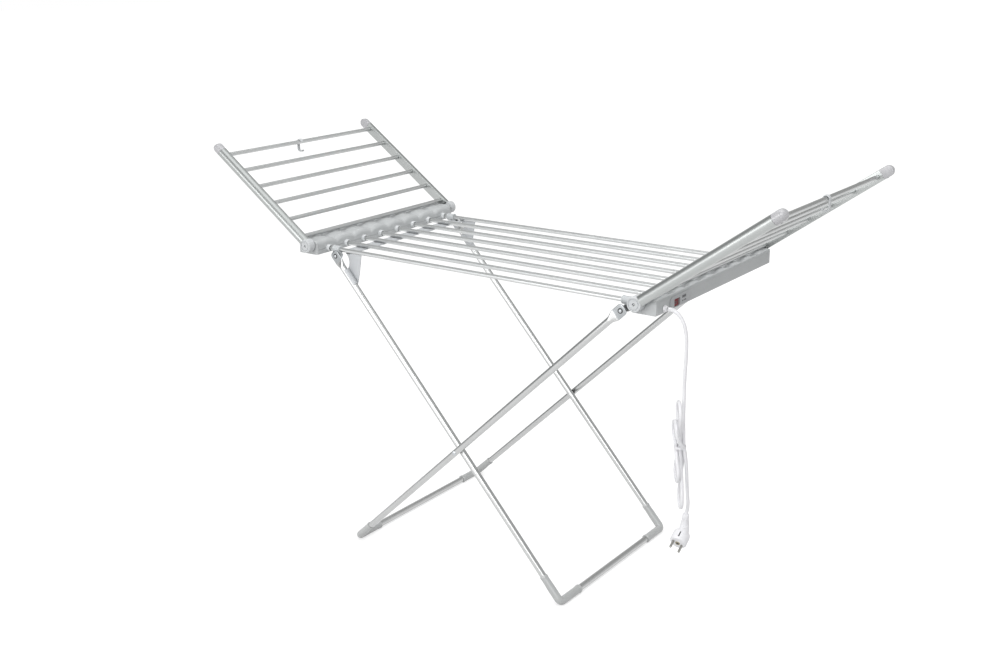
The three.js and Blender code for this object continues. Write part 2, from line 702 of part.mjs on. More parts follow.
// Barrel round an outer rack tube with a lug and the pivot pin of a leg
function bracketGeometry(sign, centreX, pivotX, plateY, stem) {
  const y = sign * outerTubeY;
  const [x0, x1] = [centreX - barrelLength / 2, centreX + barrelLength / 2];
  const lugInner = outerTubeY - lugThickness / 2;
  const lugOuter = outerTubeY + lugThickness / 2;
  const plateInner = plateY - plateThickness / 2 - seatGap;
  const plateOuter = plateY + plateThickness / 2 + seatGap;
  const barrel = rodX(barrelRadius, x0, x1, y, tubeAxis);
  const lug = join(
    box(pivotX - lugWidth / 2, pivotX + lugWidth / 2, sign * lugInner, sign * lugOuter, pivotHeight, tubeAxis),
    rodY(lugWidth / 2, sign * lugInner, sign * lugOuter, pivotX, pivotHeight));
  const spacer = rodY(stem, sign * outerTubeY, sign * plateInner, pivotX, pivotHeight);
  const pin = rodY(pivotRadius, sign * outerTubeY, sign * (plateOuter + rivetHeadHeight / 2), pivotX, pivotHeight);
  const head = rodY(rivetHeadRadius, sign * plateOuter, sign * (plateOuter + rivetHeadHeight), pivotX, pivotHeight);
  const nut = rodY(nutRadius, sign * outerTubeY, sign * (lugInner - nutHeight), pivotX, pivotHeight, 6);
  const bore = rodX(tubeRadius + seatGap, x0 - overrun, x1 + overrun, y, tubeAxis);
  return cut(join(barrel, lug, spacer, pin, head, nut), bore);
}

// Lock bracket: a sheet band under the rack tubes with a gusset and saddle on each leg of frame A

// Outline of a gusset in X and Z, measured from the pivot with the leg open
function gussetOutline(slope) {
  const top = tubeAxis - tubeRadius - seatGap - pivotHeight;
  const shape = new THREE.Shape();
  const onLeg = x => -x * slope;
  shape.moveTo(webTopLeft, top);
  shape.quadraticCurveTo(webTopLeft + lugWidth, top - lugWidth, webTopLeft + legRadius / 2, onLeg(webTopLeft));
  shape.lineTo(webTip, onLeg(webTip));
  shape.quadraticCurveTo(webTip + legRadius, onLeg(webTip) + lugWidth, webTopRight, top);
  shape.closePath();
  return shape;
}

// Half collar bent over the top of a leg tube, in the leg's own frame
function saddleGeometry(sign) {
  const outer = rodX(legRadius + sheetThickness, saddleStart + plateRun, saddleEnd, sign * legAPlane, 0);
  const inner = rodX(legRadius + seatGap, saddleStart, saddleEnd + overrun, sign * legAPlane, 0);
  const reach = legRadius + sheetThickness + overrun;
  const [y0, y1] = [sign * legAPlane - reach, sign * legAPlane + reach];
  const below = box(saddleStart, saddleEnd + overrun, y0, y1, -reach, -legRadius / 2);
  const outside = box(saddleStart, saddleEnd + overrun, sign * legAPlane, sign * (legAPlane + reach),
    -reach, legRadius / 2);
  return cut(outer, inner, below, outside);
}

function lockBracket(leg) {
  const slope = (pivotHeight - footHeight) / (footAX - slidePivotX);
  const top = tubeAxis - tubeRadius - seatGap;
  const webOuter = legAPlane - legRadius - seatGap;
  const webInner = webOuter - sheetThickness;
  const place = new THREE.Matrix4().makeTranslation(slidePivotX, 0, pivotHeight);
  const webs = [-1, 1].map(sign => {
    const web = extrudeY(gussetOutline(slope), sign * webInner, sign * webOuter).applyMatrix4(place);
    return join(web, saddleGeometry(sign).applyMatrix4(leg.group.matrixWorld));
  });
  const [x0, x1] = [slidePivotX + bandLeft, slidePivotX + bandRight];
  const band = box(x0, x1, -bandHalfLength, bandHalfLength, top - sheetThickness, top);
  const tab = box(slidePivotX + webTopLeft, x1, -webOuter, webOuter, top - sheetThickness, top);
  return join(band, tab, ...webs);
}

// Mains cord, chosen by hand as it hangs: out of the gland, down, through the tied hank to the plug.
// Points of the drop as [beyond the housing, above the gland's axis]
const dropRoute = [
  [9.5, 0], [18.6, -0.4], [27.6, -4.2], [35.6, -11], [42.2, -21], [46.6, -33], [49.2, -47], [50.2, -63],
  [50.2, -83], [49.5, -103], [48.6, -123], [48.2, -141], [48.1, -151], [48.1, -161]];

// Points of the hank as [right of the drop's end, towards the viewer, above the drop's end]
const hankRoute = [
  [0, 0, -0.3], [0, 0, -12], [0, 0, -32], [0.4, 0, -62], [1.4, 0, -92], [2, 0, -113], [1.8, -2.6, -134],
  [0.9, -8.8, -160], [-0.4, -16.6, -190], [-1.4, -22.4, -221], [-1.7, -16, -237], [-1.7, 0, -243.8],
  [-1.7, 16, -237], [-1.7, 22.4, -221], [-2, 17, -190], [-3, 9.8, -160], [-4.8, 5, -134],
  [-5.6, 3.9, -113], [-6.4, 6.4, -92], [-7.8, 14, -68], [-9, 22.4, -44], [-9.2, 16, -27.6],
  [-9.2, 0, -20.8], [-9.2, -16, -27.6], [-9, -22.4, -44], [-7.8, -14, -68], [-6.4, -6.6, -92],
  [-5.6, -4.4, -113], [-6.6, -9, -131], [-9, -17.6, -148], [-10.2, -22, -165], [-10.4, -16, -179.6],
  [-10.4, 0, -186.4], [-10.4, 16, -179.6], [-10.4, 22, -165], [-11.4, 17, -148], [-12.8, 8.4, -131],
  [-13.4, 0, -115], [-14.6, -9, -101], [-16, -21, -85], [-16.4, -16.4, -68], [-16.4, 0, -60],
  [-16.4, 16.4, -67], [-14.8, 22, -84], [-7.6, 19.6, -100], [1.4, 11.8, -115], [5, 8.6, -134],
  [7.6, 7, -157], [9.8, 5.6, -192], [12, 4, -220], [13.4, 3, -236], [12.8, 2.4, -247], [10.6, 2.3, -258]];
const hankTurn = 37.3 * Math.PI / 180;

function dropPoint([beyond, above]) {
  return new THREE.Vector3(outerFace + beyond, glandY, hingeHeight - glandDrop + above);
}

function hankPoint([right, near, above]) {
  const [c, s] = [Math.cos(hankTurn), Math.sin(hankTurn)];
  const { x, y, z } = dropPoint(dropRoute.at(-1));
  return new THREE.Vector3(x + right * c + near * s, y + right * s - near * c, z + above);
}

const dropPath = new THREE.CatmullRomCurve3(dropRoute.map(dropPoint));
const hankPath = new THREE.CatmullRomCurve3(hankRoute.map(hankPoint));

// Least gap between two stretches of the hank that lie further apart along it than a fold
function leastSelfGap(path, radius, samples = 600) {
  const points = path.getSpacedPoints(samples);
  const apart = Math.ceil(samples * 10 * radius / path.getLength());
  let least = Infinity;
  points.forEach((p, i) => {
    for (let j = i + apart; j < points.length; j++) least = Math.min(least, p.distanceTo(points[j]));
  });
  return least - 2 * radius;
}

// Angled mains plug: round face with two pins, body behind it and a tapered strain relief
const plugFaceRadius = 17.5;
const plugBodyDepth = 24;
const plugShoulderRadius = 13;
const pinRadius = 2.4;
const pinLength = 19;
const pinSpacing = 19;
const reliefLength = 59;        // from the middle of the body to the cord
const reliefRadius = 10;
const reliefEndRadius = 6;
const reliefNose = 5;           // rounded end of the relief, next to the cord
const pinWay = [0.17, -0.9, -0.39];
const pinLine = [0.5, 0.417, -0.743];

function plugBody() {
  const profile = [[0, 0], [plugFaceRadius - overrun, 0], [plugFaceRadius, overrun],
    [plugFaceRadius, plugBodyDepth / 2], [plugShoulderRadius, plugBodyDepth * 0.9],
    [plugShoulderRadius / 2, plugBodyDepth], [0, plugBodyDepth]];
  return new THREE.LatheGeometry(profile.map(([r, h]) => new THREE.Vector2(r, h)), roundSides)
    .rotateX(Math.PI / 2);
}

function plugPin(sign) {
  const pin = new THREE.CylinderGeometry(pinRadius, pinRadius, pinLength + overrun, 8);
  return pin.rotateX(Math.PI / 2).translate(sign * pinSpacing / 2, 0, (overrun - pinLength) / 2);
}

// Tapered relief from the middle of the body towards the cord, along a direction in the plug's frame
function plugRelief(way) {
  const profile = [[0, 0], [reliefRadius, 0], [reliefEndRadius, reliefLength - reliefNose],
    [cordRadius + overrun, reliefLength], [0, reliefLength]];
  const relief = new THREE.LatheGeometry(profile.map(([r, h]) => new THREE.Vector2(r, h)), tubeSides);
  const turn = new THREE.Quaternion().setFromUnitVectors(new THREE.Vector3(0, 1, 0), way);
  return relief.applyQuaternion(turn).translate(0, 0, plugBodyDepth / 2);
}

// Plug hung in line with the cord's end, its pins towards the front and down
function addPlug() {
  const [above, end] = hankRoute.slice(-2).map(hankPoint);
  const up = above.sub(end).normalize();
  const back = new THREE.Vector3(...pinWay).normalize().negate();
  const across = new THREE.Vector3(...pinLine);
  across.addScaledVector(back, -across.dot(back)).normalize();
  const turn = new THREE.Matrix4().makeBasis(across, back.clone().cross(across), back);
  const reliefWay = up.clone().applyMatrix4(turn.clone().invert());
  const pieces = [plugRelief(reliefWay), plugPin(-1), plugPin(1)];
  const plug = addPiece(airer, 'plug', join(plugBody(), ...pieces), whitePlastic);
  plug.quaternion.setFromRotationMatrix(turn);
  plug.position.copy(end).addScaledVector(up, -reliefLength - seatGap)
    .addScaledVector(back, -plugBodyDepth / 2);
}

// Assembly
addHousing('left', Math.PI, trayGeometry());
addHousing('right', 0, cut(trayGeometry(), switchOpening(), glandOpening()));
addRackTubes();
addPiece(airer, 'heating_cable', heatingCable(), redCable);
addSwitch();
addPiece(airer, 'gland', glandGeometry(), whitePlastic);
addWing('left_wing', Math.PI);
addWing('right_wing', 0);

for (const [end, sign] of [['front', -1], ['rear', 1]]) {
  const sleeve = bracketGeometry(sign, -barrelX, slidePivotX, legAPlane, spacerRadius);
  addPiece(airer, `sleeve_${end}`, sleeve, pressedSteel);
  const bracket = bracketGeometry(sign, barrelX, fixedPivotX, legBPlane, spacerRadius);
  addPiece(airer, `right_bracket_${end}`, bracket, pressedSteel);
}

const legA = legFrame(slidePivotX, footAX);
const legB = legFrame(fixedPivotX, footBX);
const crossing = crossingReach(legA, legB);
addFrame('leg_a', legA, legAPlane, elbowReachA, tube => tube);
addFrame('leg_b', legB, legBPlane, elbowReachB,
  (tube, sign) => addCrossingRivet(tube, sign, crossing));
addPiece(airer, 'lock_bracket', lockBracket(legA), pressedSteel);

addPiece(airer, 'cord_drop', sweep(dropPath, cordRadius, cordSides, dropSteps), whitePlastic);
addPiece(airer, 'cord_hank', sweep(hankPath, cordRadius, hankSides, hankSteps), whitePlastic);
addPlug();
console.log(`least gap of the hank to itself: ${leastSelfGap(hankPath, cordRadius).toFixed(2)} mm`);

export default airer;
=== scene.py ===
"""Heated clothes airer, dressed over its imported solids. Lengths are in millimetres until a mesh is made."""

import bmesh
import bpy
import numpy as np
from mathutils import Matrix, Vector


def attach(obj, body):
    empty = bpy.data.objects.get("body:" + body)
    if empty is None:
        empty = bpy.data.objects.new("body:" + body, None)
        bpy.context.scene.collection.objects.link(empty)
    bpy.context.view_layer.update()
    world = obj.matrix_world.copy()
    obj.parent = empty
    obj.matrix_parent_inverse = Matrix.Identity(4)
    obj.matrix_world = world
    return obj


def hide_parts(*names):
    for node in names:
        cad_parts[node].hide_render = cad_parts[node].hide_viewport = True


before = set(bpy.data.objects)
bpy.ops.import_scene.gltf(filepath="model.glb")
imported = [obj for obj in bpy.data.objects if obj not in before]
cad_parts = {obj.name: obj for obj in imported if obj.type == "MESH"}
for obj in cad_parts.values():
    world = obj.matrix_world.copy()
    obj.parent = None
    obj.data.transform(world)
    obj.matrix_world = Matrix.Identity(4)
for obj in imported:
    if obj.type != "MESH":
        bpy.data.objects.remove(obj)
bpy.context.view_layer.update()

# Camera, set where the airer was photographed from: in front of the right end and a little above the
# rack, with a slight roll.
def placed(name, data):
    """An object that holds the data, linked to the scene."""
    made = bpy.data.objects.new(name, data)
    bpy.context.scene.collection.objects.link(made)
    return made


azimuth, elevation, roll = np.radians([37.3095, 17.4996, -1.109])
towards_viewer = np.array([np.sin(azimuth) * np.cos(elevation), -np.cos(azimuth) * np.cos(elevation),
                           np.sin(elevation)])
level_right = np.array([np.cos(azimuth), np.sin(azimuth), 0])
level_up = np.cross(towards_viewer, level_right)
image_right = np.cos(roll) * level_right + np.sin(roll) * level_up
image_up = np.cos(roll) * level_up - np.sin(roll) * level_right
camera_place = np.array([1590.5, -2195.7, 1388.3])

lens = bpy.data.cameras.new("view")
lens.lens, lens.sensor_width = 43.86, 36
camera = placed("view", lens)
camera.matrix_world = Matrix(np.vstack([
    np.column_stack([image_right, image_up, towards_viewer, camera_place * 0.001]), [0, 0, 0, 1]]).tolist())
bpy.context.scene.camera = camera
bpy.context.scene.view_settings.view_transform = "Standard"


# Studio: a white floor and surround, and three large soft lamps. The camera sees only white round the
# airer. Its shiny pieces also mirror a grey ceiling and darker walls at the left and behind it, and the
# floor keeps its shadow.
class Flow:
    """A number or colour that flows from a node; an expression on it adds Math nodes."""

    def __init__(self, finish, socket):
        self.finish, self.socket = finish, socket

    def math(self, operation, *values):
        return self.finish.node("Math", {"operation": operation}, *values)

    def __add__(self, other):
        return self.math("ADD", self, other)

    def __sub__(self, other):
        return self.math("SUBTRACT", self, other)

    def __rsub__(self, other):
        return self.math("SUBTRACT", other, self)

    def __mul__(self, other):
        return self.math("MULTIPLY", self, other)

    def cosine(self):
        return self.math("COSINE", self)

    def sine(self):
        return self.math("SINE", self)

    def step(self, low, high):
        """Nought below low, one above high, and smooth between them."""
        return self.finish.node("MapRange", {"interpolation_type": "SMOOTHSTEP"}, self, low, high, 0.0, 1.0)

    __radd__, __rmul__ = __add__, __mul__


class Finish:
    """The node tree of one finish. node() adds any node: its type, its settings, then its sockets' values."""

    def __init__(self, tree):
        self.tree = tree
        tree.nodes.clear()

    def node(self, kind, settings=None, *values, output=0, at=None, **named):
        made = self.tree.nodes.new("ShaderNode" + kind)
        for setting, value in (settings or {}).items():
            if setting == "stops":
                ramp = made.color_ramp
                while len(ramp.elements) < len(value):
                    ramp.elements.new(1)
                for element, (place, colour) in zip(ramp.elements, value):
                    element.position, element.color = place, (*colour, 1)
            else:
                setattr(made, setting, value)
        sockets = [*enumerate(values), *(at or {}).items(),
                   *((name.replace("_", " "), value) for name, value in named.items())]
        for key, value in sockets:
            if isinstance(value, Flow):
                self.tree.links.new(value.socket, made.inputs[key])
            else:
                made.inputs[key].default_value = value
        return Flow(self, made.outputs[output]) if made.outputs else None

    def between(self, share, first, second):
        """The colour that is a share of the way from the first to the second."""
        first, second = (c if isinstance(c, Flow) else (*c, 1) for c in (first, second))
        return self.node("Mix", {"data_type": "RGBA"}, share, output=2, at={6: first, 7: second})

    def noise(self, place, scale, detail=2.0):
        """A cloud pattern round nought."""
        return self.node("TexNoise", None, place, Scale=scale, Detail=detail) - 0.5

    def seen(self):
        """One for a ray from the camera or off or through a shiny piece, nought for the light itself."""
        rays = [self.node("LightPath", output=f"Is {kind} Ray") for kind in ("Camera", "Glossy", "Transmission")]
        return rays[0] + rays[1] + rays[2]


def new_finish(name):
    """A new material, and the finish on its node tree."""
    material = bpy.data.materials.new(name)
    material.use_nodes = True
    return material, Finish(material.node_tree)


world = bpy.data.worlds.new("surround")
bpy.context.scene.world = world
world.use_nodes = True
surround = Finish(world.node_tree)
way_out = surround.node("TexCoord", output="Generated")
rightward, backward, height = (surround.node("SeparateXYZ", None, way_out, output=axis) for axis in "XYZ")
light_shade = surround.node("ValToRGB", {"stops": [(0, (0.50,) * 3), (0.5, (0.62,) * 3), (1, (0.80,) * 3)]}, height)
ceiling = height.step(0.42, 0.72)
side_wall = (rightward * -1).step(0.66, 0.96)
back_wall = backward.step(0.62, 0.92)
mirrored_shade = surround.between(side_wall * 0.9, surround.between(ceiling, (1, 1, 1), (0.50, 0.51, 0.51)),
                                  (0.30, 0.31, 0.31))
mirrored_shade = surround.between(back_wall, mirrored_shade, (0.42, 0.42, 0.41))
seen_shade = surround.between(surround.node("LightPath", output="Is Camera Ray"), mirrored_shade, (1, 1, 1))
surround.node("OutputWorld", None, surround.node(
    "MixShader", None, surround.seen(), surround.node("Background", None, light_shade, 1.0),
    surround.node("Background", None, seen_shade, 1.0)))

floor_mesh = bpy.data.meshes.new("floor")
floor_reach = 30
floor_mesh.from_pydata([(x * floor_reach, y * floor_reach, 0) for x, y in ((-1, -1), (1, -1), (1, 1), (-1, 1))],
                       [], [(0, 1, 2, 3)])
floor = placed("floor", floor_mesh)
floor_paint, sweep = new_finish("white_floor")
matt = sweep.node("BsdfDiffuse", None, (0.55, 0.55, 0.55, 1))
reach = sweep.node("VectorMath", {"operation": "LENGTH"}, sweep.node("TexCoord", output="Object"), output="Value")
glow = sweep.node("Emission", None, sweep.between(reach.step(1, 7), (0.54,) * 3, (0.70,) * 3), 1.0)
sweep.node("OutputMaterial", None, sweep.node(
    "MixShader", None, sweep.seen(), matt, sweep.node("AddShader", None, matt, glow)))
floor_mesh.materials.append(floor_paint)


def lamp(name, place, aim, size, power):
    """A square soft lamp of a size in metres, turned from its place to what it lights."""
    light = bpy.data.lights.new(name, "AREA")
    light.size, light.energy = size, power
    lit = placed(name, light)
    lit.location = place
    way = np.array(aim, float) - np.array(place, float)
    lit.rotation_euler = Vector(way.tolist()).to_track_quat("-Z", "Y").to_euler()


lamp("key", (1.7, -3.5, 3.2), (0, 0, 0.6), 3, 84)
lamp("fill", (-1.3, -4.2, 1.5), (0, 0, 0.5), 2.4, 46)
lamp("top", (0.2, 0.3, 4.2), (0, 0, 0.5), 4, 60)


# Mains cord: white round PVC lead, straight out of its gland, down beside the right leg and folded
# into a tied hank above its plug. One tube of constant thickness follows the whole route.
def flowing(points, steps=14):
    """Centripetal Catmull-Rom curve: each span is the cubic whose end slopes come from the two
    neighbouring chords, each divided by the square root of its length."""
    rows = np.vstack([2 * points[0] - points[1], points, 2 * points[-1] - points[-2]])
    p0, p1, p2, p3 = rows[:-3], rows[1:-2], rows[2:-1], rows[3:]
    d0, d1, d2 = (np.sqrt(np.linalg.norm(b - a, axis=1))[:, None] for a, b in ((p0, p1), (p1, p2), (p2, p3)))
    t1 = d1 * ((p1 - p0) / d0 - (p2 - p0) / (d0 + d1) + (p2 - p1) / d1)
    t2 = d1 * ((p2 - p1) / d1 - (p3 - p1) / (d1 + d2) + (p3 - p2) / d2)
    s = np.linspace(0, 1, steps, endpoint=False)[None, :, None]
    p1, p2, t1, t2 = (a[:, None] for a in (p1, p2, t1, t2))
    curve = p1 + t1 * s + (3 * (p2 - p1) - 2 * t1 - t2) * s**2 + (2 * (p1 - p2) + t1 + t2) * s**3
    return np.vstack([curve.reshape(-1, 3), points[-1]])


def run_along(path):
    """Distance along a path at each of its points: the sum of the chords up to it."""
    return np.append(0, np.cumsum(np.linalg.norm(np.diff(path, axis=0), axis=1)))


def add_skin(name, shells, looped=False, sharp=32):
    """A mesh of closed shells. A shell is a grid: point j of ring i joins point j of ring i + 1, and a flat
    face closes each end, or the last ring joins the first where looped. A shell whose faces point inwards,
    by the sign of its volume, is turned. The skin map holds the share of the way round and the distance
    along, in metres."""
    points, faces, skin, start = [], [], [], 0
    for rings in shells:
        rows, cols = rings.shape[:2]
        flat = rings.reshape(-1, 3) * 0.001
        i, j = np.meshgrid(np.arange(rows if looped else rows - 1), np.arange(cols), indexing="ij")
        quads = np.stack([i * cols + j, i * cols + (j + 1) % cols, (i + 1) % rows * cols + (j + 1) % cols,
                          (i + 1) % rows * cols + j], -1).reshape(-1, 4)
        around = flat[quads]
        volume = sum(np.einsum("ij,ij->", around[:, 0], np.cross(around[:, k], around[:, k + 1])) for k in (1, 2))
        shell_faces = quads.tolist()
        if not looped:
            for k, ring in ((-1, np.arange(cols)), (1, np.arange((rows - 1) * cols, rows * cols))):
                edge = flat[ring]
                volume += k * (np.cross(edge, np.roll(edge, -1, 0)).sum(0) @ edge.mean(0))
                shell_faces.append(ring[::k].tolist())
        along = run_along(rings.mean(1)) * 0.001
        along = np.append(along, 2 * along[-1] - along[-2])
        pairs = np.stack([np.stack([j, j + 1, j + 1, j], -1) / cols, along[np.stack([i, i, i + 1, i + 1], -1)]], -1)
        pairs = pairs.reshape(-1, 4, 2)
        if volume < 0:
            shell_faces = [face[::-1] for face in shell_faces]
            pairs = pairs[:, ::-1]
        skin += [pairs.reshape(-1, 2), np.zeros((0 if looped else 2 * cols, 2))]
        faces += [[start + corner for corner in face] for face in shell_faces]
        points.append(flat)
        start += len(flat)
    mesh = bpy.data.meshes.new(name)
    mesh.from_pydata(np.vstack(points).tolist(), [], faces)
    mesh.uv_layers.new(name="skin").data.foreach_set("uv", np.vstack(skin).ravel())
    work = bmesh.new()
    work.from_mesh(mesh)
    bmesh.ops.dissolve_degenerate(work, dist=2e-6, edges=work.edges)
    work.to_mesh(mesh)
    work.free()
    mesh.shade_smooth()
    mesh.set_sharp_from_angle(angle=np.radians(sharp))
    return placed(name, mesh)


def unit(vectors):
    """Each vector divided by its own length."""
    return vectors / np.linalg.norm(vectors, axis=-1, keepdims=True)


def square_to(way, direction):
    """The direction less its part along the way, with a length of one."""
    return unit(direction - way * np.sum(way * direction, -1, keepdims=True))


def full_turn(count):
    """Angles of one turn in equal steps, without its last."""
    return np.linspace(0, 2 * np.pi, count, endpoint=False)


def hose(path, radius, steady, sides=20):
    """Rings round a path. A fixed way that the path never follows gives each ring its turn: the way,
    less its part along the path, is one axis of the ring, and the cross product the other."""
    way = unit(np.gradient(path, axis=0))
    first = square_to(way, steady)
    second = np.cross(way, first)
    turn = full_turn(sides)[None, :, None]
    radius = np.broadcast_to(radius, len(path))[:, None, None]
    return path[:, None] + radius * (np.cos(turn) * first[:, None] + np.sin(turn) * second[:, None])


def plastic(name, tone, shade, roughness, grain=0.0005, relief=0.000012, scuff=0.1, gloss=0.5):
    """Moulded plastic: a colour that drifts between a tone and a shade, a fine grain in its relief, and
    faint rubbed streaks where it has been handled, which are smoother than the rest."""
    material, finish = new_finish(name)
    place = finish.node("TexCoord", output="Object")
    drift = finish.noise(place, 11.0, 3.0)
    mottle = finish.noise(place, 170.0, 3.0)
    stretched = finish.node("Mapping", None, place, Rotation=(0.4, 0.3, 0.7), Scale=(18.0, 260.0, 260.0))
    rubbed = finish.noise(stretched, 1.0, 2.0).step(0.14, 0.24)
    colour = finish.between(drift * 1.3 + mottle * 0.5 + rubbed * scuff + 0.5, tone, shade)
    bump = finish.node("Bump", None, Height=finish.noise(place, 1 / grain) + rubbed * -0.3, Strength=0.5,
                       Distance=relief)
    shader = finish.node("BsdfPrincipled", None, Base_Color=colour, Normal=bump, Specular_IOR_Level=gloss,
                         Roughness=drift * 0.16 + mottle * 0.08 - rubbed * scuff + roughness)
    finish.node("OutputMaterial", None, shader)
    return material


def fit(name, shells, material, body, slot, *nodes, **skin):
    """A piece of one shell or a list of them: it gets its finish, rides on its body and stands for the
    solids named."""
    piece = add_skin(name, shells if isinstance(shells, list) else [shells], **skin)
    piece.data.materials.append(material)
    if nodes:
        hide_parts(*nodes)
    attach(piece, body)
    return piece


cord_radius = 3.5
drop_route = np.array([
    [490.9, -218, 723], [500, -218, 722.6], [509, -218, 718.8], [517, -218, 712], [523.6, -218, 702],
    [528, -218, 690], [530.6, -218, 676], [531.6, -218, 660], [531.6, -218, 640], [530.9, -218, 620],
    [530, -218, 600], [529.6, -218, 582], [529.5, -218, 572], [529.5, -218, 562]])
hank_route = np.array([
    [0, 0, 550], [0, 0, 530], [0.4, 0, 500], [1.4, 0, 470], [2, 0, 449],
    [1.8, -2.6, 428], [0.9, -8.8, 402], [-0.4, -16.6, 372], [-1.4, -22.4, 341], [-1.7, -16, 325], [-1.7, 0, 318.2],
    [-1.7, 16, 325], [-1.7, 22.4, 341], [-2, 17, 372], [-3, 9.8, 402], [-4.8, 5, 428], [-5.6, 3.9, 449],
    [-6.4, 6.4, 470], [-7.8, 14, 494], [-9, 22.4, 518], [-9.2, 16, 534.4], [-9.2, 0, 541.2],
    [-9.2, -16, 534.4], [-9, -22.4, 518], [-7.8, -14, 494], [-6.4, -6.6, 470], [-5.6, -4.4, 449],
    [-6.6, -9, 431], [-9, -17.6, 414], [-10.2, -22, 397], [-10.4, -16, 382.4], [-10.4, 0, 375.6],
    [-10.4, 16, 382.4], [-10.4, 22, 397], [-11.4, 17, 414], [-12.8, 8.4, 431], [-13.4, 0, 447],
    [-14.6, -9, 461], [-16, -21, 477], [-16.4, -16.4, 494], [-16.4, 0, 502],
    [-16.4, 16.4, 495], [-14.8, 22, 478], [-7.6, 19.6, 462], [1.4, 11.8, 447],
    [5, 8.6, 428], [7.6, 7, 405], [9.8, 5.6, 370], [12, 4, 342], [13.4, 3, 326], [12.8, 2.4, 315],
    [10.6, 2.3, 304]])
hank_turn = np.radians(37.3)
hank_axes = np.array([[np.cos(hank_turn), np.sin(hank_turn), 0], [np.sin(hank_turn), -np.cos(hank_turn), 0],
                      [0, 0, 1]])


def hung(point):
    """Points of the hank from their distance right of the hanging cord and towards the viewer, and height."""
    return np.atleast_2d(point) @ hank_axes + drop_route[-1] * [1, 1, 0]


white_pvc = plastic("white_pvc", (0.80, 0.80, 0.82), (0.73, 0.73, 0.75), 0.42)
cord_path = flowing(np.vstack([drop_route, hung(hank_route)]))
cord_rings = hose(cord_path, cord_radius, np.array([0, 1, 0]))
cord = fit("mains_cord", cord_rings, white_pvc, "rack", "white_plastic", "cord_drop", "cord_hank")


# Plug: white moulded angled mains plug. A round body with a slot in its side faces down and to the front,
# with two nickel-plated pins and a brass earth contact. A ribbed relief runs up to the cord.
def turned(profile, start, way, sides=40):
    """Rings of a turned piece: each row of the profile is a distance along the axis and a radius."""
    profile, way = np.array(profile, float), unit(np.array(way, float))
    first = unit(np.cross((0, 0, 1) if abs(way[2]) < 0.9 else (1, 0, 0), way))
    turn = full_turn(sides)[None, :, None]
    spoke = np.cos(turn) * first + np.sin(turn) * np.cross(way, first)
    return np.array(start, float) + profile[:, :1, None] * way + profile[:, 1:, None] * spoke


def metal(name, colour, shade, roughness, streaks=0.3, relief=0.00001, metallic=1.0, pressed=None):
    """Bare metal, drawn along its length: fine streaks run along the skin map's distance and change
    quickly round it, in tone, gloss and relief, and handling leaves duller patches. A pressed end, given
    as its length and colour, is darker in tone."""
    material, finish = new_finish(name)
    skin = finish.node("UVMap", {"uv_map": "skin"})
    share, distance = (finish.node("SeparateXYZ", None, skin, output=axis) for axis in "XY")
    turn = share * (2 * np.pi)
    drawn = finish.node("CombineXYZ", None, turn.cosine() * 9, turn.sine() * 9, distance * 5)
    streak = finish.noise(drawn, 1.0, 5.0)
    patch = finish.noise(finish.node("TexCoord", output="Object"), 16.0, 3.0)
    tint = finish.between(streak * streaks * 3 + patch * 0.8 + 0.4, colour, shade)
    if pressed:
        tint = finish.between(distance.step(pressed[0], pressed[0] + 0.005), pressed[1], tint)
    bump = finish.node("Bump", None, Height=streak, Strength=0.4, Distance=relief)
    shader = finish.node("BsdfPrincipled", None, Base_Color=tint, Metallic=metallic, Normal=bump,
                         Roughness=streak * streaks * 0.3 + patch * 0.12 + roughness)
    finish.node("OutputMaterial", None, shader)
    return material


pin_way = unit(np.array([0.085, -0.93, -0.444]))
pin_line = square_to(pin_way, np.array([0.794, 0.442, -0.41]))
plug_depth, plug_radius, half_pin_gap = 29, 17.5, 9.5
plug_face = hung((0.6, 2.3, 251.8))[0] + pin_way * plug_depth / 2
plug_body = fit("plug_body", turned([
    (-1.2, 3), (-1.2, 14.6), (0, 16.2), (1, 17.1), (2.2, 17.5), (3.6, 17.5), (3.8, 17.1), (4.6, 17.1), (4.8, 17.5),
    (16, 17.5), (21, 17.2), (25, 15.9), (27.6, 13.2), (28.7, 9), (29, 3)], plug_face, -pin_way),
                white_pvc, "rack", "white_plastic", "plug")
relief_path = flowing(hung(np.array([
    [10.6, 2.3, 304], [9.4, 2.3, 295], [8.6, 2.3, 283], [7.6, 2.3, 270], [5, 2.3, 258]])), 24)
relief_run = run_along(relief_path)
relief_groove = 0.9 * ((relief_run > 6) & (relief_run < 30) & (np.sin(relief_run * 2) < 0))
relief_radius = np.interp(relief_run, [0, 0.4, 1.6, 4, 12, 28, 48], [3.8, 5.6, 6.6, 6.9, 7, 9.6, 11])
relief_rings = hose(relief_path, relief_radius - relief_groove, np.array([0, 1, 0]), 40)
plug_relief = fit("plug_relief", relief_rings, white_pvc, "rack", "white_plastic", sharp=50)

nickel = metal("nickel_pins", (0.36, 0.355, 0.335), (0.26, 0.255, 0.24), 0.3)
brass = metal("brass_contact", (0.42, 0.38, 0.28), (0.30, 0.27, 0.19), 0.32)
# Dark plastic for spacers, bushes, washers and print, and also painted shade in the collars' mouths, the plug's
# slot and its earth hole.
dark_moulding_and_shade = plastic("dark_moulding_and_shade", (0.035, 0.036, 0.038), (0.06, 0.06, 0.062), 0.5)
pins = [fit(f"plug_pin_{end}", turned([(-2, 2.4), (17.6, 2.4), (18.6, 1.9), (19, 1)],
                                      plug_face + k * half_pin_gap * pin_line, pin_way, 20),
            nickel, "rack", "white_plastic") for end, k in (("upper", -1), ("lower", 1))]
contact_rings = turned([(-1, 5), (1.9, 5), (2.3, 4.6), (2.3, 3.3), (1.4, 3.2), (1.4, 0.4)], plug_face, pin_way, 28)
contact = fit("plug_contact", contact_rings, brass, "rack", "white_plastic")
# A dark disc fills the earth contact's hole: painted shade inside the hole.
hole_shade_rings = turned([(1, 3.1), (1.7, 3.1), (1.7, 0.3)], plug_face, pin_way, 20)
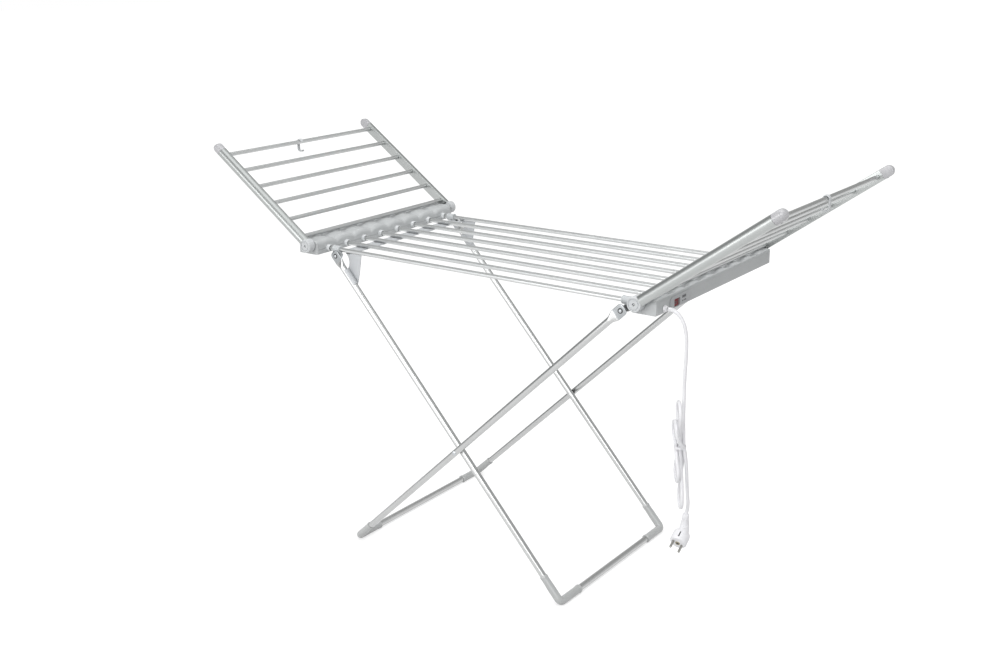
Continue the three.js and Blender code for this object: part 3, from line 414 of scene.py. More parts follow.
contact_hole_shade = fit("plug_contact_hole", hole_shade_rings, dark_moulding_and_shade, "rack", "white_plastic")
# The slot in the body's side is drawn as a dark bar standing a little proud: painted shade in the slot.
slot_turn, slot_start = 0.5, 18.5
slot_side = square_to(pin_way, towards_viewer) * np.cos(slot_turn) - pin_line * np.sin(slot_turn)
slot_shade_rings = turned([(0, 0.9), (0.5, 1.5), (14.5, 1.5), (15, 0.9)],
                    plug_face - pin_way * slot_start + slot_side * plug_radius, pin_way, 16)
slot = fit("plug_slot_shade", slot_shade_rings, dark_moulding_and_shade, "rack", "white_plastic")

# Tie: a flat band of white plastic, drawn in one turn round the five runs of the hank. It is an ellipse
# in plan, and its inner face is the same ellipse, a little smaller.
tie_turn = full_turn(72)
tie_middle, tie_wide, tie_deep, tie_inside = np.array([-5.6, 2.6, 449]), 12.2, 10.4, 0.93
tie_line = np.column_stack([tie_wide * np.cos(tie_turn), tie_deep * np.sin(tie_turn), 0 * tie_turn])
tie_out = hung(tie_middle + tie_line)
tie_in = hung(tie_middle + tie_line * tie_inside)
half_tie = np.array([0, 0, 2.6])
tie_rings = np.stack([tie_out - half_tie, tie_out + half_tie, tie_in + half_tie, tie_in - half_tie], 1)
tie = fit("hank_tie", tie_rings, white_pvc, "rack", "white_plastic", looped=True)

# Gland and bend relief: a white collar on the housing's outer face, and a soft tapered sleeve that is
# moulded round the first bend of the cord.
outer_face = 481.4
gland_y, gland_z = -218, 723
gland_rings = turned([
    (-3.4, 5), (0.3, 5), (0.3, 6.9), (0.8, 7.3), (2, 7.3), (2.6, 6.8), (3, 6.1), (5, 5.7), (6.6, 5.3), (7.2, 4.6),
    (7.2, 3)], (outer_face, gland_y, gland_z), (1, 0, 0))
fit("cord_gland", gland_rings, white_pvc, "rack", "white_plastic", "gland")
sleeve_path = cord_path[:38]
sleeve_run = run_along(sleeve_path)
sleeve_share = sleeve_run / sleeve_run[-1]
ring_wave = np.where((sleeve_share > 0.12) & (sleeve_share < 0.86), 0.25 * np.sign(np.sin(sleeve_run * 2.1)), 0)
sleeve_radius = 4.8 - sleeve_share + ring_wave * (1 - sleeve_share)
bend_relief = hose(sleeve_path, sleeve_radius, np.array([0, 1, 0]), 28)
fit("cord_bend_relief", bend_relief, white_pvc, "rack", "white_plastic", sharp=50)

# Rack tubes: eight drawn aluminium tubes, held at both ends in the housings. A heating cable in a red
# sheath runs through them all, out of sight.
def cut_tube(length, radius, start, way, sides=28):
    """Rings of a straight tube from its start, with the edge of each cut end taken off."""
    edge = 0.4
    return turned([(0, radius - edge), (edge, radius), (length - edge, radius), (length, radius - edge)],
                  start, way, sides)


tube_pitch, tube_z, outer_tube, tube_length, tube_radius = 60.3, 725, 211.05, 881.4, 5
tube_ys = np.arange(8) * tube_pitch - outer_tube
satin = metal("satin_aluminium", (0.61, 0.62, 0.62), (0.51, 0.52, 0.52), 0.36, 0.2, 0.000004)
for k, y in enumerate(tube_ys):
    tube = cut_tube(tube_length, tube_radius, (-tube_length / 2, y, tube_z), (1, 0, 0))
    fit(f"drawn_tube_{k + 1}", tube, satin, "rack", "aluminium", f"rack_tube_{k + 1}")
red_sheath = plastic("red_silicone_sheath", (0.34, 0.07, 0.045), (0.26, 0.05, 0.03), 0.6)
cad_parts["heating_cable"].data.materials.clear()
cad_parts["heating_cable"].data.materials.append(red_sheath)

# End housings: light grey mouldings in two shells. The lower one is a trough with the wing axles on its
# ends, and the upper one is lobed over the tubes and comes down round them towards the rack. A paler
# collar grips each tube, and a dark ring inside its mouth is painted shade between collar and tube.
left_right = (("left", -1), ("right", 1))
hinge_x, hinge_z = 443, 737
inner_face, half_housing, corner = 424.7, 248.5, 5
tray_bottom, tray_top, rim, wall, joint_gap = 714.1, 740.1, 745.7, 2.4, 0.3
nose, flat_end, cover_sheet = 12, outer_face - 5, 1.7
valley_low, valley_high, crest_low, crest_high = 729, 740.1, 736.6, 747.5
switch_ys, recess_floor, recess_roof, recess_depth = (-184.7, -158.3), 715.8, 735.2, 16.3
grey_plastic = plastic("grey_moulding", (0.485, 0.50, 0.505), (0.435, 0.45, 0.455), 0.5)
pale_plastic = plastic("pale_moulding", (0.57, 0.585, 0.595), (0.51, 0.525, 0.535), 0.42)
collar_plastic = plastic("collar_moulding", (0.68, 0.70, 0.71), (0.62, 0.64, 0.65), 0.42)
axle_profile = [(0, 11.1), (5.2, 11.1), (5.2, 4), (17.2, 4)]
collar_profile = [(2.4, 6), (2.4, 7.7), (-7.6, 7.7), (-8.2, 7.5), (-8.5, 7.1), (-8.5, 6)]
# A dark ring inside each collar's mouth, round the tube: painted shade between collar and tube.
shade_ring_profile = [(2, 5.05), (2, 6.1), (-7.4, 6.1), (-7.4, 5.05)]


def inner_line(y):
    """Rack side of a housing in plan: straight, with a quarter circle at each end."""
    beyond = np.maximum(np.abs(y) - (half_housing - corner), 0)
    return inner_face + corner - np.sqrt(np.maximum(corner**2 - beyond**2, 0))


def end_steps(*steps):
    """Places across the housing where its section changes: fine round the corners, and twice at each step."""
    rounds = half_housing - corner + corner * np.sin(np.linspace(0, np.pi / 2, 9))
    return np.concatenate([rounds, np.repeat(steps, 2)])


def lobed_height(share, y):
    """Top of the cover at a share of the nose's length from the rack side. Across the tubes each lobe is a
    parabola to the power 0.8 between two valleys, and past the last tube it stays high. Along the tubes
    both valleys and lobes rise from the collars on a quarter ellipse."""
    nearest = np.clip(np.round((y + outer_tube) / tube_pitch), 0, 7) * tube_pitch - outer_tube
    lobe = np.maximum(1 - (np.abs(y - nearest) / (tube_pitch / 2)) ** 2, 0) ** 0.8
    near_end = np.clip((np.abs(y) - outer_tube - 8) / 14, 0, 1)
    lobe = np.maximum(lobe, 0.85 * near_end * near_end * (3 - 2 * near_end))
    rise = np.sqrt(1 - (1 - np.clip(share, 0, 1)) ** 2)
    valley = valley_low + (valley_high - valley_low) * rise
    crest = crest_low + (crest_high - crest_low) * rise
    return valley + (crest - valley) * lobe


def sections_at(*places):
    """All the places along Y in order, and how far each lies from the middle. Where two are the same, the
    outer one counts as a hair further out, so that the section can change between them."""
    ys = np.sort(np.concatenate(places))[:, None]
    twin = np.append(0, np.diff(ys[:, 0]) == 0)[:, None] > 0
    outward = np.where(ys > 0, twin, np.roll(twin, -1))
    return ys, np.abs(ys) + np.where(outward, 0.001, 0) - 0.0005


def side_by_side(parts, ys):
    """The parts of a section in a row, each repeated for every place along Y where it is one value."""
    return np.hstack([part + 0 * ys for part in parts])


def grid(x, y, z):
    """Points from their three coordinates, each spread over the whole grid."""
    return np.stack(np.broadcast_arrays(x, y, z), -1)


def cover_rings():
    """Sections of the cover across X, one for each place along Y: the top from the rack side to the outer
    edge, then back along the underside, a sheet's thickness lower and further out."""
    ends = end_steps(half_housing - corner - joint_gap, half_housing - wall)
    lobes = np.linspace(-4, 4, 8 * 18 + 1) * tube_pitch
    ys, reach = sections_at(lobes, ends, -ends)
    foot = np.where(reach > half_housing - corner - joint_gap, tray_top, tube_z) + joint_gap
    x0, length = inner_line(ys), nose * (1 - np.cos(np.linspace(0, np.pi / 2, 10)))
    flat_x = x0 + nose + (flat_end - x0 - nose) * np.linspace(0, 1, 5)[1:]
    edge_x, edge_z = np.array([(-2.8, -0.9, -0.3, 0), (0, 0, -0.3, -0.9)])
    top_x = side_by_side([x0, x0 + length, flat_x, outer_face + edge_x, outer_face], ys)
    top_z = side_by_side([foot, np.maximum(lobed_height(length / nose, ys), foot), lobed_height(1, ys) + 0 * flat_x,
                          rim + edge_z, tray_top + joint_gap], ys)
    low_x = np.minimum(top_x + wall, outer_face - wall)
    low_z = np.where(reach > half_housing - wall, foot, np.maximum(top_z - cover_sheet, foot))
    return grid(np.hstack([top_x, low_x[:, ::-1]]), ys, np.hstack([top_z, low_z[:, ::-1]]))


def tray_rings(recess):
    """Sections of the tray across X: down the rack side, along the bottom and up the outer side, then back
    along the inside. Where the switch goes in, both sides of the outer wall step in by the recess."""
    ends = end_steps(half_housing - corner, half_housing - wall)
    ys, reach = sections_at(ends, -ends, np.repeat(switch_ys, 2))
    top = np.where(reach > half_housing - corner, tray_top, tube_z - joint_gap)
    order = np.cumsum(np.isin(ys[:, 0], switch_ys))[:, None]
    step_in = np.where((order >= 2) & (order <= 3), recess, 0.0)
    x0, soft, inner_wall = inner_line(ys), 1.4, outer_face - wall
    quarter = np.linspace(0, np.pi / 2, 5)
    x = side_by_side([x0, x0 + soft * (1 - np.cos(quarter)), outer_face - soft + soft * np.sin(quarter), outer_face,
                      outer_face - step_in, outer_face - step_in, outer_face, outer_face, inner_wall, inner_wall,
                      inner_wall - step_in, inner_wall - step_in, x0 + wall, x0 + wall], ys)
    z = side_by_side([top, tray_bottom + soft * (1 - np.sin(quarter)), tray_bottom + soft * (1 - np.cos(quarter)),
                      recess_floor, recess_floor, recess_roof, recess_roof, tray_top, tray_top, recess_roof + wall,
                      recess_roof + wall, tray_bottom + wall, tray_bottom + wall, top], ys)
    inside = np.arange(x.shape[1]) >= x.shape[1] - 6
    return grid(x, ys, np.where((reach > half_housing - wall) & inside, tray_top, z))


def mirrored(rings, side):
    """The same rings at the right end, or turned half a turn about the upright axis at the left end."""
    return rings * np.array([side, side, 1])


for name, side in left_right:
    axles = [mirrored(turned(axle_profile, (hinge_x, end * (half_housing - wall), hinge_z), (0, end, 0)), side)
             for end in (-1, 1)]
    tray, cover = mirrored(tray_rings(recess_depth if side > 0 else 0), side), mirrored(cover_rings(), side)
    fit(f"{name}_trough", [tray, *axles], grey_plastic, "rack", "grey_plastic", f"{name}_tray")
    fit(f"{name}_lobed_cover", cover, grey_plastic, "rack", "grey_plastic", f"{name}_cover", sharp=40)
    for part, profile, sides, material in (("collars", collar_profile, 32, collar_plastic),
                                           ("shade_rings", shade_ring_profile, 24, dark_moulding_and_shade)):
        fittings = [mirrored(turned(profile, (inner_face, y, tube_z), (1, 0, 0), sides), side) for y in tube_ys]
        fit(f"{name}_tube_{part}", fittings, material, "rack", "grey_plastic", looped=True)

# Switch: an oval bezel of grey plastic on the outer face, with a square body behind it and plain slits and
# dots beside it. A dark red rocker with a ring and a bar on its key tips about an upright pin.
bezel_y, bezel_z, bezel_half = -156, 727.3, 30
rocker_x, rocker_y, rocker_z = 480.8, -171.5, 725.5


def arc_points(middle, radius, turns):
    """Points round a middle: the radius times the cosine and the sine of each turn."""
    return np.column_stack([middle[0] + radius * np.cos(turns), middle[1] + radius * np.sin(turns)])


def from_rocker(outline, turns):
    """The points of an outline in Y and Z that are seen from the rocker's middle at the given turns."""
    rows = outline - [rocker_y, rocker_z]
    place = np.arctan2(rows[:, 1], rows[:, 0])
    order = np.argsort(place)
    distance = np.interp(turns, place[order], np.linalg.norm(rows, axis=1)[order], period=2 * np.pi)
    return arc_points((rocker_y, rocker_z), distance, turns)


def oval(round_radius):
    """A straight pair of sides with a half circle at each end."""
    side = np.linspace(bezel_half, -bezel_half, 400)[1:-1]
    half = np.vstack([arc_points((bezel_half, 0), round_radius, np.radians(np.linspace(-90, 90, 200))),
                      np.column_stack([side, round_radius + 0 * side])])
    return np.vstack([half, -half]) + [bezel_y, bezel_z]


def oblong(half_width, half_height, power=9):
    """A rectangle with soft corners: the sum of the two shares, each to a high power, is one."""
    turn = full_turn(2000)
    out = (np.abs(np.cos(turn) / half_width) ** power + np.abs(np.sin(turn) / half_height) ** power) ** (-1 / power)
    return arc_points((rocker_y, rocker_z), out, turn)


bezel_plastic = plastic("bezel_moulding", (0.415, 0.425, 0.435), (0.375, 0.385, 0.395), 0.45)
far_turns = np.radians(np.linspace(-16, 16, 40))
bezel_turns = np.unique(np.concatenate([np.linspace(-np.pi, np.pi, 140, endpoint=False), far_turns]).round(4))
bezel_rows = [(465.4, oblong(12.6, 9.1)), (481.7, oblong(12.6, 9.1)), (481.7, oval(11.6)), (482.4, oval(12)),
              (482.9, oval(11.7)), (483.2, oval(11.1)), (483.2, oblong(13, 9.4)), (484, oblong(12.4, 8.8)),
              (484, oblong(11.6, 8.1)), (483.6, oblong(11.3, 7.8)), (471.2, oblong(11.3, 7.8))]
bezel_rings = np.stack([grid(x, *from_rocker(outline, bezel_turns).T) for x, outline in bezel_rows])
fit("switch_bezel", bezel_rings, bezel_plastic, "rack", "pale_plastic", "switch_body")

rocker_half, rocker_height, rocker_tilt, rocker_top, rocker_back = 10.7, 14.4, np.radians(6), 2.4, -9
tilt_cos, tilt_sin = np.cos(rocker_tilt), np.sin(rocker_tilt)


def on_rocker(along, out, lift):
    """A place on the tilted rocker: along its length, out of its face and up."""
    return grid(rocker_x + out * tilt_cos + along * tilt_sin, rocker_y - along * tilt_cos + out * tilt_sin,
                rocker_z + lift)


# Along its length the key falls both ways on a hyperbola whose ends have the slope of the tilt, and each
# end has a quarter ellipse. Upright it has soft edges, and a parabola as a hollow that deepens to the ends.
across, middle = np.linspace(-1, 1, 41)[:, None], np.linspace(-0.8, 0.8, 9)
edge_in = 0.7 * (1 - np.sqrt(np.maximum(1 - np.clip((np.abs(across) - 0.93) / 0.07, 0, 1) ** 2, 0)))
key_face = rocker_top - np.sqrt((across * rocker_half) ** 2 + 0.6) * np.tan(rocker_tilt) - edge_in
section_y = np.concatenate([[-1, -1, -0.97, -0.9], middle, [0.9, 0.97, 1, 1]])
section_in = np.concatenate([[-8, -0.48, -0.16, 0], 0 * middle, [0, -0.16, -0.48, -8]])
hollow = np.concatenate([[0] * 4, -0.35 * (1 - (middle / 0.85) ** 2), [0] * 4])
at_back = section_in < -4
rocker_out = np.where(at_back, rocker_back, key_face + section_in + hollow * np.abs(across))
along_key = across * rocker_half * np.where(at_back, 0.78, 1)
rocker_rings = on_rocker(along_key, rocker_out, section_y * rocker_height / 2)
red = plastic("red_rocker", (0.19, 0.010, 0.016), (0.15, 0.008, 0.012), 0.45, gloss=0.2)
fit("red_rocker_key", rocker_rings, red, "rocker", "red_plastic", "rocker", sharp=40)

face_out = on_rocker(tilt_sin, tilt_cos, 0) - on_rocker(0, 0, 0)
ring_mark = turned([(0, 1.7), (0.35, 1.7), (0.35, 3.4), (0, 3.4)], on_rocker(5.4, 1.5, 0), face_out, 24)
fit("rocker_ring_mark", ring_mark, dark_moulding_and_shade, "rocker", "red_plastic", looped=True)
bar_mark = turned([(-3.4, 0.7), (-3.2, 1.1), (3.2, 1.1), (3.4, 0.7)], on_rocker(-5.4, 1.2, 0), (0, 0, 1), 12)
fit("rocker_bar_mark", bar_mark, dark_moulding_and_shade, "rocker", "red_plastic")
slits = [turned([(-2.9, 0.5), (-2.6, 1.05), (2.6, 1.05), (2.9, 0.5)], (482.9, y, 731.6), (0, 0, 1), 12)
         for y in (-149, -145, -141, -137)]
dots = [turned([(-0.4, 1.6), (0.3, 1.6), (0.3, 0.5)], (483.2, y, 723.4), (1, 0, 0), 16) for y in (-149, -143, -137)]
fit("bezel_pips", [*slits, *dots], dark_moulding_and_shade, "rack", "pale_plastic")

# Wings: each has two D-section aluminium rails with domed plastic caps, six bars between them, and a
# plastic hub at the foot of each rail that turns on the housing's axle and is held by a screw. Another
# screw holds each cap from below.
front_rear = (("front", -1), ("rear", 1))
wing_angle, outer_bar, bar_pitch = np.radians(35.4), 325.7, 59.2
rail_inner, rail_half, rail_flat, rail_depth, cap_centre = 251.6, 11.5, 7, 18.4, 351.8
hub_round, hub_depth, bar_half = 13.8, 16.4, rail_inner - 0.3


def on_wing(points, side):
    """From a wing's own axes, along the rail from the hinge, across, and square to the rail, to the airer's."""
    reach, y, lift = points[..., 0], points[..., 1], points[..., 2]
    return grid(side * (hinge_x + reach * np.cos(wing_angle) - lift * np.sin(wing_angle)), y,
                hinge_z + reach * np.sin(wing_angle) + lift * np.cos(wing_angle))


def rail_rings(reach, end, width_share=1, depth_share=1, proud=0):
    """D sections of a rail, one for each reach: a flat inner face with soft edges, short straight sides and
    a half ellipse outside, scaled by the two shares and then grown by what stands proud."""
    bow = np.linspace(-np.pi / 2, np.pi / 2, 25)
    soft = np.linspace(0, np.pi / 2, 5)
    outside = rail_flat + (rail_depth - rail_flat) * np.cos(bow)
    depth = np.concatenate([1 - np.cos(soft), outside, 1 - np.cos(soft[::-1])])
    edge = rail_half - 1 + np.sin(soft)
    lift = np.concatenate([-edge, rail_half * np.sin(bow), edge[::-1]])
    width_share, depth_share, reach = (np.reshape(v, (-1, 1)) for v in (width_share, depth_share, reach))
    y = end * (rail_inner + depth * depth_share + proud * np.cos(np.linspace(-2, 2, len(depth))))
    return grid(reach, y, lift * width_share * (1 + proud / rail_half))


rail_finish = metal("brushed_rail", (0.45, 0.465, 0.46), (0.38, 0.395, 0.39), 0.32, 0.2, 0.000003)
screw_steel = metal("screw_steel", (0.26, 0.265, 0.27), (0.17, 0.175, 0.18), 0.35)
# The wing bars' finish is the rack tubes' satin aluminium made darker: painted shade on the bars.
satin_bars_shaded = metal("satin_bars_shaded", (0.56, 0.57, 0.57), (0.47, 0.48, 0.48), 0.36, 0.2, 0.000004)
cap_plastic = plastic("cap_moulding", (0.45, 0.45, 0.465), (0.40, 0.40, 0.415), 0.22, gloss=0.9)
rail_reaches = np.array([0, 22, 336.7])
dome = np.radians(np.append(np.linspace(0, 84, 15), 88))
dome_reaches = np.concatenate([[337, 337.4, cap_centre], cap_centre + rail_half * np.sin(dome)])
dome_width = np.concatenate([[0.97, 1, 1], np.cos(dome)])
hub_profile = [(0, 4.3), (0, 15.1), (0.4, 15.5), (9.6, 15.5), (9.9, 15.1), (10.6, 15.1), (10.9, 15.5), (16.7, 15.5),
               (17.5, 15.1), (17.9, 14.3), (17.9, 12.4), (16.3, 12), (16.3, 10.2), (17.7, 9.7), (17.7, 3.2),
               (hub_depth, 3), (hub_depth, 0.6)]
for name, side in left_right:
    wing = f"{name}_wing"
    for end_name, end in front_rear:
        rings = rail_rings(rail_reaches, end)
        rings[0, :, 0] = np.sqrt(hub_round**2 - rings[0, :, 2] ** 2)
        fit(f"{wing}_{end_name}_rail", on_wing(rings, side), rail_finish, wing, "aluminium",
            f"{wing}_rail_{end_name}")
        cap = rail_rings(dome_reaches, end, dome_width, np.sqrt(np.clip(dome_width, 0, 1)), 0.15)
        fit(f"{wing}_{end_name}_cap", on_wing(cap, side), cap_plastic, wing, "pale_plastic",
            f"{wing}_cap_{end_name}")
        hub = turned(hub_profile, (side * hinge_x, end * rail_inner, hinge_z), (0, end, 0), 56)
        fit(f"{wing}_{end_name}_hub", hub, pale_plastic, wing, "grey_plastic", f"{wing}_hub_{end_name}")
        screw = turned([(-0.2, 2.7), (0.4, 2.7), (0.7, 2.3), (0.7, 1.6), (-0.1, 1.3), (-0.1, 0.3)],
                       (side * hinge_x, end * (rail_inner + hub_depth), hinge_z), (0, end, 0), 24)
        underside = np.array([cap_centre - 8, end * (rail_inner + 4), -rail_half - 0.1])
        screw_start, screw_end = on_wing(np.array([underside, underside - [0, 0, 1]]), side)
        cap_screw = turned([(-0.6, 2.6), (0.3, 2.6), (0.6, 2.2), (0.6, 1.2), (0.1, 1), (0.1, 0.3)], screw_start,
                           screw_end - screw_start, 24)
        fit(f"{wing}_{end_name}_screws", [screw, cap_screw], screw_steel, wing, "grey_plastic")
    for k in range(6):
        bar_start = on_wing(np.array([outer_bar - bar_pitch * k, -bar_half, 0]), side)
        bar = cut_tube(2 * bar_half, tube_radius, bar_start, (0, 1, 0))
        fit(f"{wing}_drawn_bar_{k + 1}", bar, satin_bars_shaded, wing, "aluminium", f"{wing}_bar_{k + 1}")

# Hook clips: a strip of pale plastic that snaps round the outermost bar of each wing and hangs down to
# a small upturned lip, for a hanger. Its section is an oblong: its two shares to the fourth power add to one.
hook_line = np.vstack([
    arc_points((0, 0), 6.6, np.radians(np.linspace(176, 0, 28))), [(6.6, -6), (6.6, -12), (6.6, -18.2)],
    arc_points((1.1, -18.2), 5.5, np.radians(np.linspace(0, -90, 9))), [(-2, -23.7)],
    arc_points((-5.2, -21.2), 2.5, np.radians(np.linspace(-90, -180, 7))), [(-7.7, -19.8)]])
hook_way = unit(np.gradient(hook_line, axis=0))
hook_out = np.column_stack([hook_way[:, 1], -hook_way[:, 0]])
half_strip, half_sheet = 4.5, 1.3
strip_turn = full_turn(24)
strip = (np.abs(np.cos(strip_turn) / half_sheet) ** 4 + np.abs(np.sin(strip_turn) / half_strip) ** 4) ** -0.25
hook_centre = on_wing(np.array([outer_bar, -9, 0]), 1)
hook_x, hook_z = np.moveaxis(hook_line[:, None] + (strip * np.cos(strip_turn))[:, None] * hook_out[:, None], -1, 0)
hook_rings = grid(hook_x, strip * np.sin(strip_turn), hook_z) + hook_centre
for name, side in left_right:
    fit(f"{name}_hook_clip", hook_rings * [side, 1, 1], pale_plastic, f"{name}_hook", "pale_plastic",
        f"{name}_wing_hook")

# Legs: two frames of bright aluminium tube, flattened at the top to a plate that a rivet goes through,
# with a plastic elbow at each foot that joins the leg to its cross bar and stands on the floor.
pivot_z, foot_z, leg_radius, socket_end = 710.5, 8.5, 7.5, 15.3
plate_half, plate_thick, plate_run, flare_run = 12.5, 1.25, 14, 20
leg_planes = {"a": 221.4, "b": 240}
leg_pivots = {"a": np.array([-392.3, pivot_z]), "b": np.array([396.9, pivot_z])}
leg_feet = {"a": np.array([239.3, foot_z]), "b": np.array([-350.4, foot_z])}
leg_ways = {leg: unit(leg_feet[leg] - leg_pivots[leg]) for leg in "ab"}
leg_lengths = {leg: np.linalg.norm(leg_feet[leg] - leg_pivots[leg]) for leg in "ab"}
elbow_reaches, elbow_radius, bar_reach, bend = {"a": 68, "b": 58}, 9.1, 74, 11
bright_look = (0.54, 0.545, 0.545), (0.46, 0.465, 0.465), 0.26, 0.2, 0.000003
bright = metal("bright_aluminium", *bright_look)
pressed_end = metal("pressed_end_aluminium", *bright_look, pressed=(0.025, (0.365, 0.38, 0.39)))
foot_plastic = plastic("elbow_moulding", (0.45, 0.46, 0.46), (0.38, 0.39, 0.39), 0.22, scuff=0.15, gloss=1)


def on_leg(leg, points):
    """From a leg's own axes, down it from the pivot, across, and square to it, to the airer's."""
    way, start = leg_ways[leg], leg_pivots[leg]
    down, y, lift = points[..., 0], points[..., 1], points[..., 2]
    return grid(start[0] + down * way[0] - lift * way[1], y, start[1] + down * way[1] + lift * way[0])


def leg_rings(length, plane):
    """Sections of a leg: two half circles joined by two flats. Half width and half thickness go from the
    plate's to the tube's radius over the flare, so the flats close to a point there. The plate's tip is
    round in plan: its share of the width and of the tip's length, each to a power, add to one."""
    tip_length, power = 11.7, 3.2
    tip = -(tip_length - 0.2) * np.cos(np.linspace(0, np.pi / 2, 9))
    flare = np.linspace(0, 1, 17)
    down = np.concatenate([tip, [4, 9], plate_run + flare_run * flare, [120, length / 2, length]])
    share = np.clip((down - plate_run) / flare_run, 0, 1)
    ease = share * share * (3 - 2 * share)
    wide = plate_half + (leg_radius - plate_half) * ease
    wide = wide * np.where(down < 0, np.maximum(1 - (np.abs(down) / tip_length) ** power, 0.02) ** (1 / power), 1)
    thick = plate_thick + (leg_radius - plate_thick) * (0.35 * share + 0.65 * ease)
    turn = (np.arange(36) + 0.5) / 36 * 2 * np.pi
    flat = np.maximum(wide - thick, 0)[:, None]
    thick = np.minimum(thick, np.maximum(wide, 0.6))[:, None]
    return grid(down[:, None], plane + thick * np.cos(turn), thick * np.sin(turn) + flat * np.sign(np.sin(turn)))


def elbow_rings(leg, plane, end):
    """Rings along an elbow: down the leg, round a quadratic bend and along the bar, with a thicker lip at
    both mouths. What would be under the floor is laid flat on it."""
    t = np.linspace(0, 1, 15)[:, None]
    mouth = np.array([0, 0.4, 5.2, 5.8, 14, 30])[:, None]
    corner_place = np.array([leg_lengths[leg], end * plane, 0])
    up, along_bar = np.array([-1, 0, 0]), np.array([0, -end, 0])
    arm = corner_place + up * (elbow_reaches[leg] - mouth)
    curve = corner_place + bend * ((1 - t) ** 2 * up + t**2 * along_bar)
    bar_arm = (corner_place + along_bar * (bar_reach - mouth))[::-1]
    path = on_leg(leg, np.vstack([arm, curve, bar_arm]))
    leg_lip, bar_lip = [9, 9.25, 9.25, 8.6, 8.6, elbow_radius], [elbow_radius, elbow_radius, 9.2, 10, 10, 9.5]
    radius = np.concatenate([leg_lip, np.full(len(t), elbow_radius), bar_lip])
    rings = hose(path, radius, np.array([-leg_ways[leg][1], 0, leg_ways[leg][0]]), 36)
    rings[..., 2] = np.maximum(rings[..., 2], 0)
    return rings


for leg in "ab":
    plane, length = leg_planes[leg], leg_lengths[leg]
    for end_name, end in front_rear:
        tube = on_leg(leg, leg_rings(length - socket_end, end * plane))
        fit(f"leg_{leg}_{end_name}_tube", tube, pressed_end, f"leg_{leg}", "polished_aluminium",
            f"leg_{leg}_tube_{end_name}")
        fit(f"leg_{leg}_{end_name}_elbow", elbow_rings(leg, plane, end), foot_plastic, f"leg_{leg}", "grey_plastic",
            f"leg_{leg}_elbow_{end_name}")
    half_bar = plane - socket_end
    cross_bar = cut_tube(2 * half_bar, leg_radius, on_leg(leg, np.array([length, -half_bar, 0])), (0, 1, 0), 36)
    fit(f"leg_{leg}_bar", cross_bar, bright, f"leg_{leg}", "polished_aluminium", f"leg_{leg}_cross_bar")

# Crossing rivets: where the two legs of a side cross, a dark plastic spacer keeps them apart, and a
# zinc-plated rivet goes through both and is closed to a dome on the outside. How far down leg B they
# cross is the law of sines on the triangle under the rack.
steep = {leg: np.arctan2(-leg_ways[leg][1], abs(leg_ways[leg][0])) for leg in "ab"}
pivot_gap = leg_pivots["b"][0] - leg_pivots["a"][0]
crossing = pivot_gap * np.sin(steep["a"]) / np.sin(steep["a"] + steep["b"])
zinc = metal("zinc_rivets", (0.58, 0.60, 0.62), (0.42, 0.44, 0.46), 0.32)
for end_name, end in front_rear:
    heart = on_leg("b", np.array([crossing, end * leg_planes["b"], 0]))
    head = turned([(6.9, 5.6), (7.9, 5.6), (8.6, 5.1), (9.3, 3.8), (9.7, 1.8), (9.7, 0.5)], heart, (0, end, 0), 28)
    fit(f"crossing_rivet_{end_name}", head, zinc, "leg_b", "polished_aluminium")
    spacer = turned([(0, 6), (-10.8, 6)], heart, (0, end, 0), 28)
    fit(f"crossing_spacer_{end_name}", spacer, dark_moulding_and_shade, "leg_b", "grey_plastic")


# Sleeves and brackets: a moulded barrel round an outer rack tube, with a lug down to the pivot. The
# sleeves slide on their tubes. A dark bush keeps each leg clear, and a rivet and nut hold it.
def slab(outline, low, high, soft=0.5):
    """Rings of a plate: an outline in X and Z carried along Y, drawn in by its own normals at both faces
    to soften the edges."""
    way = unit(np.roll(outline, -1, 0) - np.roll(outline, 1, 0))
    area = np.sum(outline[:, 0] * np.roll(outline[:, 1], -1) - np.roll(outline[:, 0], -1) * outline[:, 1])
    inward = np.column_stack([-way[:, 1], way[:, 0]]) * np.sign(area)
    rows = [(low, soft), (low + soft * 0.3, soft * 0.3), (low + soft, 0), (high - soft, 0),
            (high - soft * 0.3, soft * 0.3), (high, soft)]
    return np.stack([grid(outline[:, 0] + draw * inward[:, 0], y, outline[:, 1] + draw * inward[:, 1])
                     for y, draw in rows])


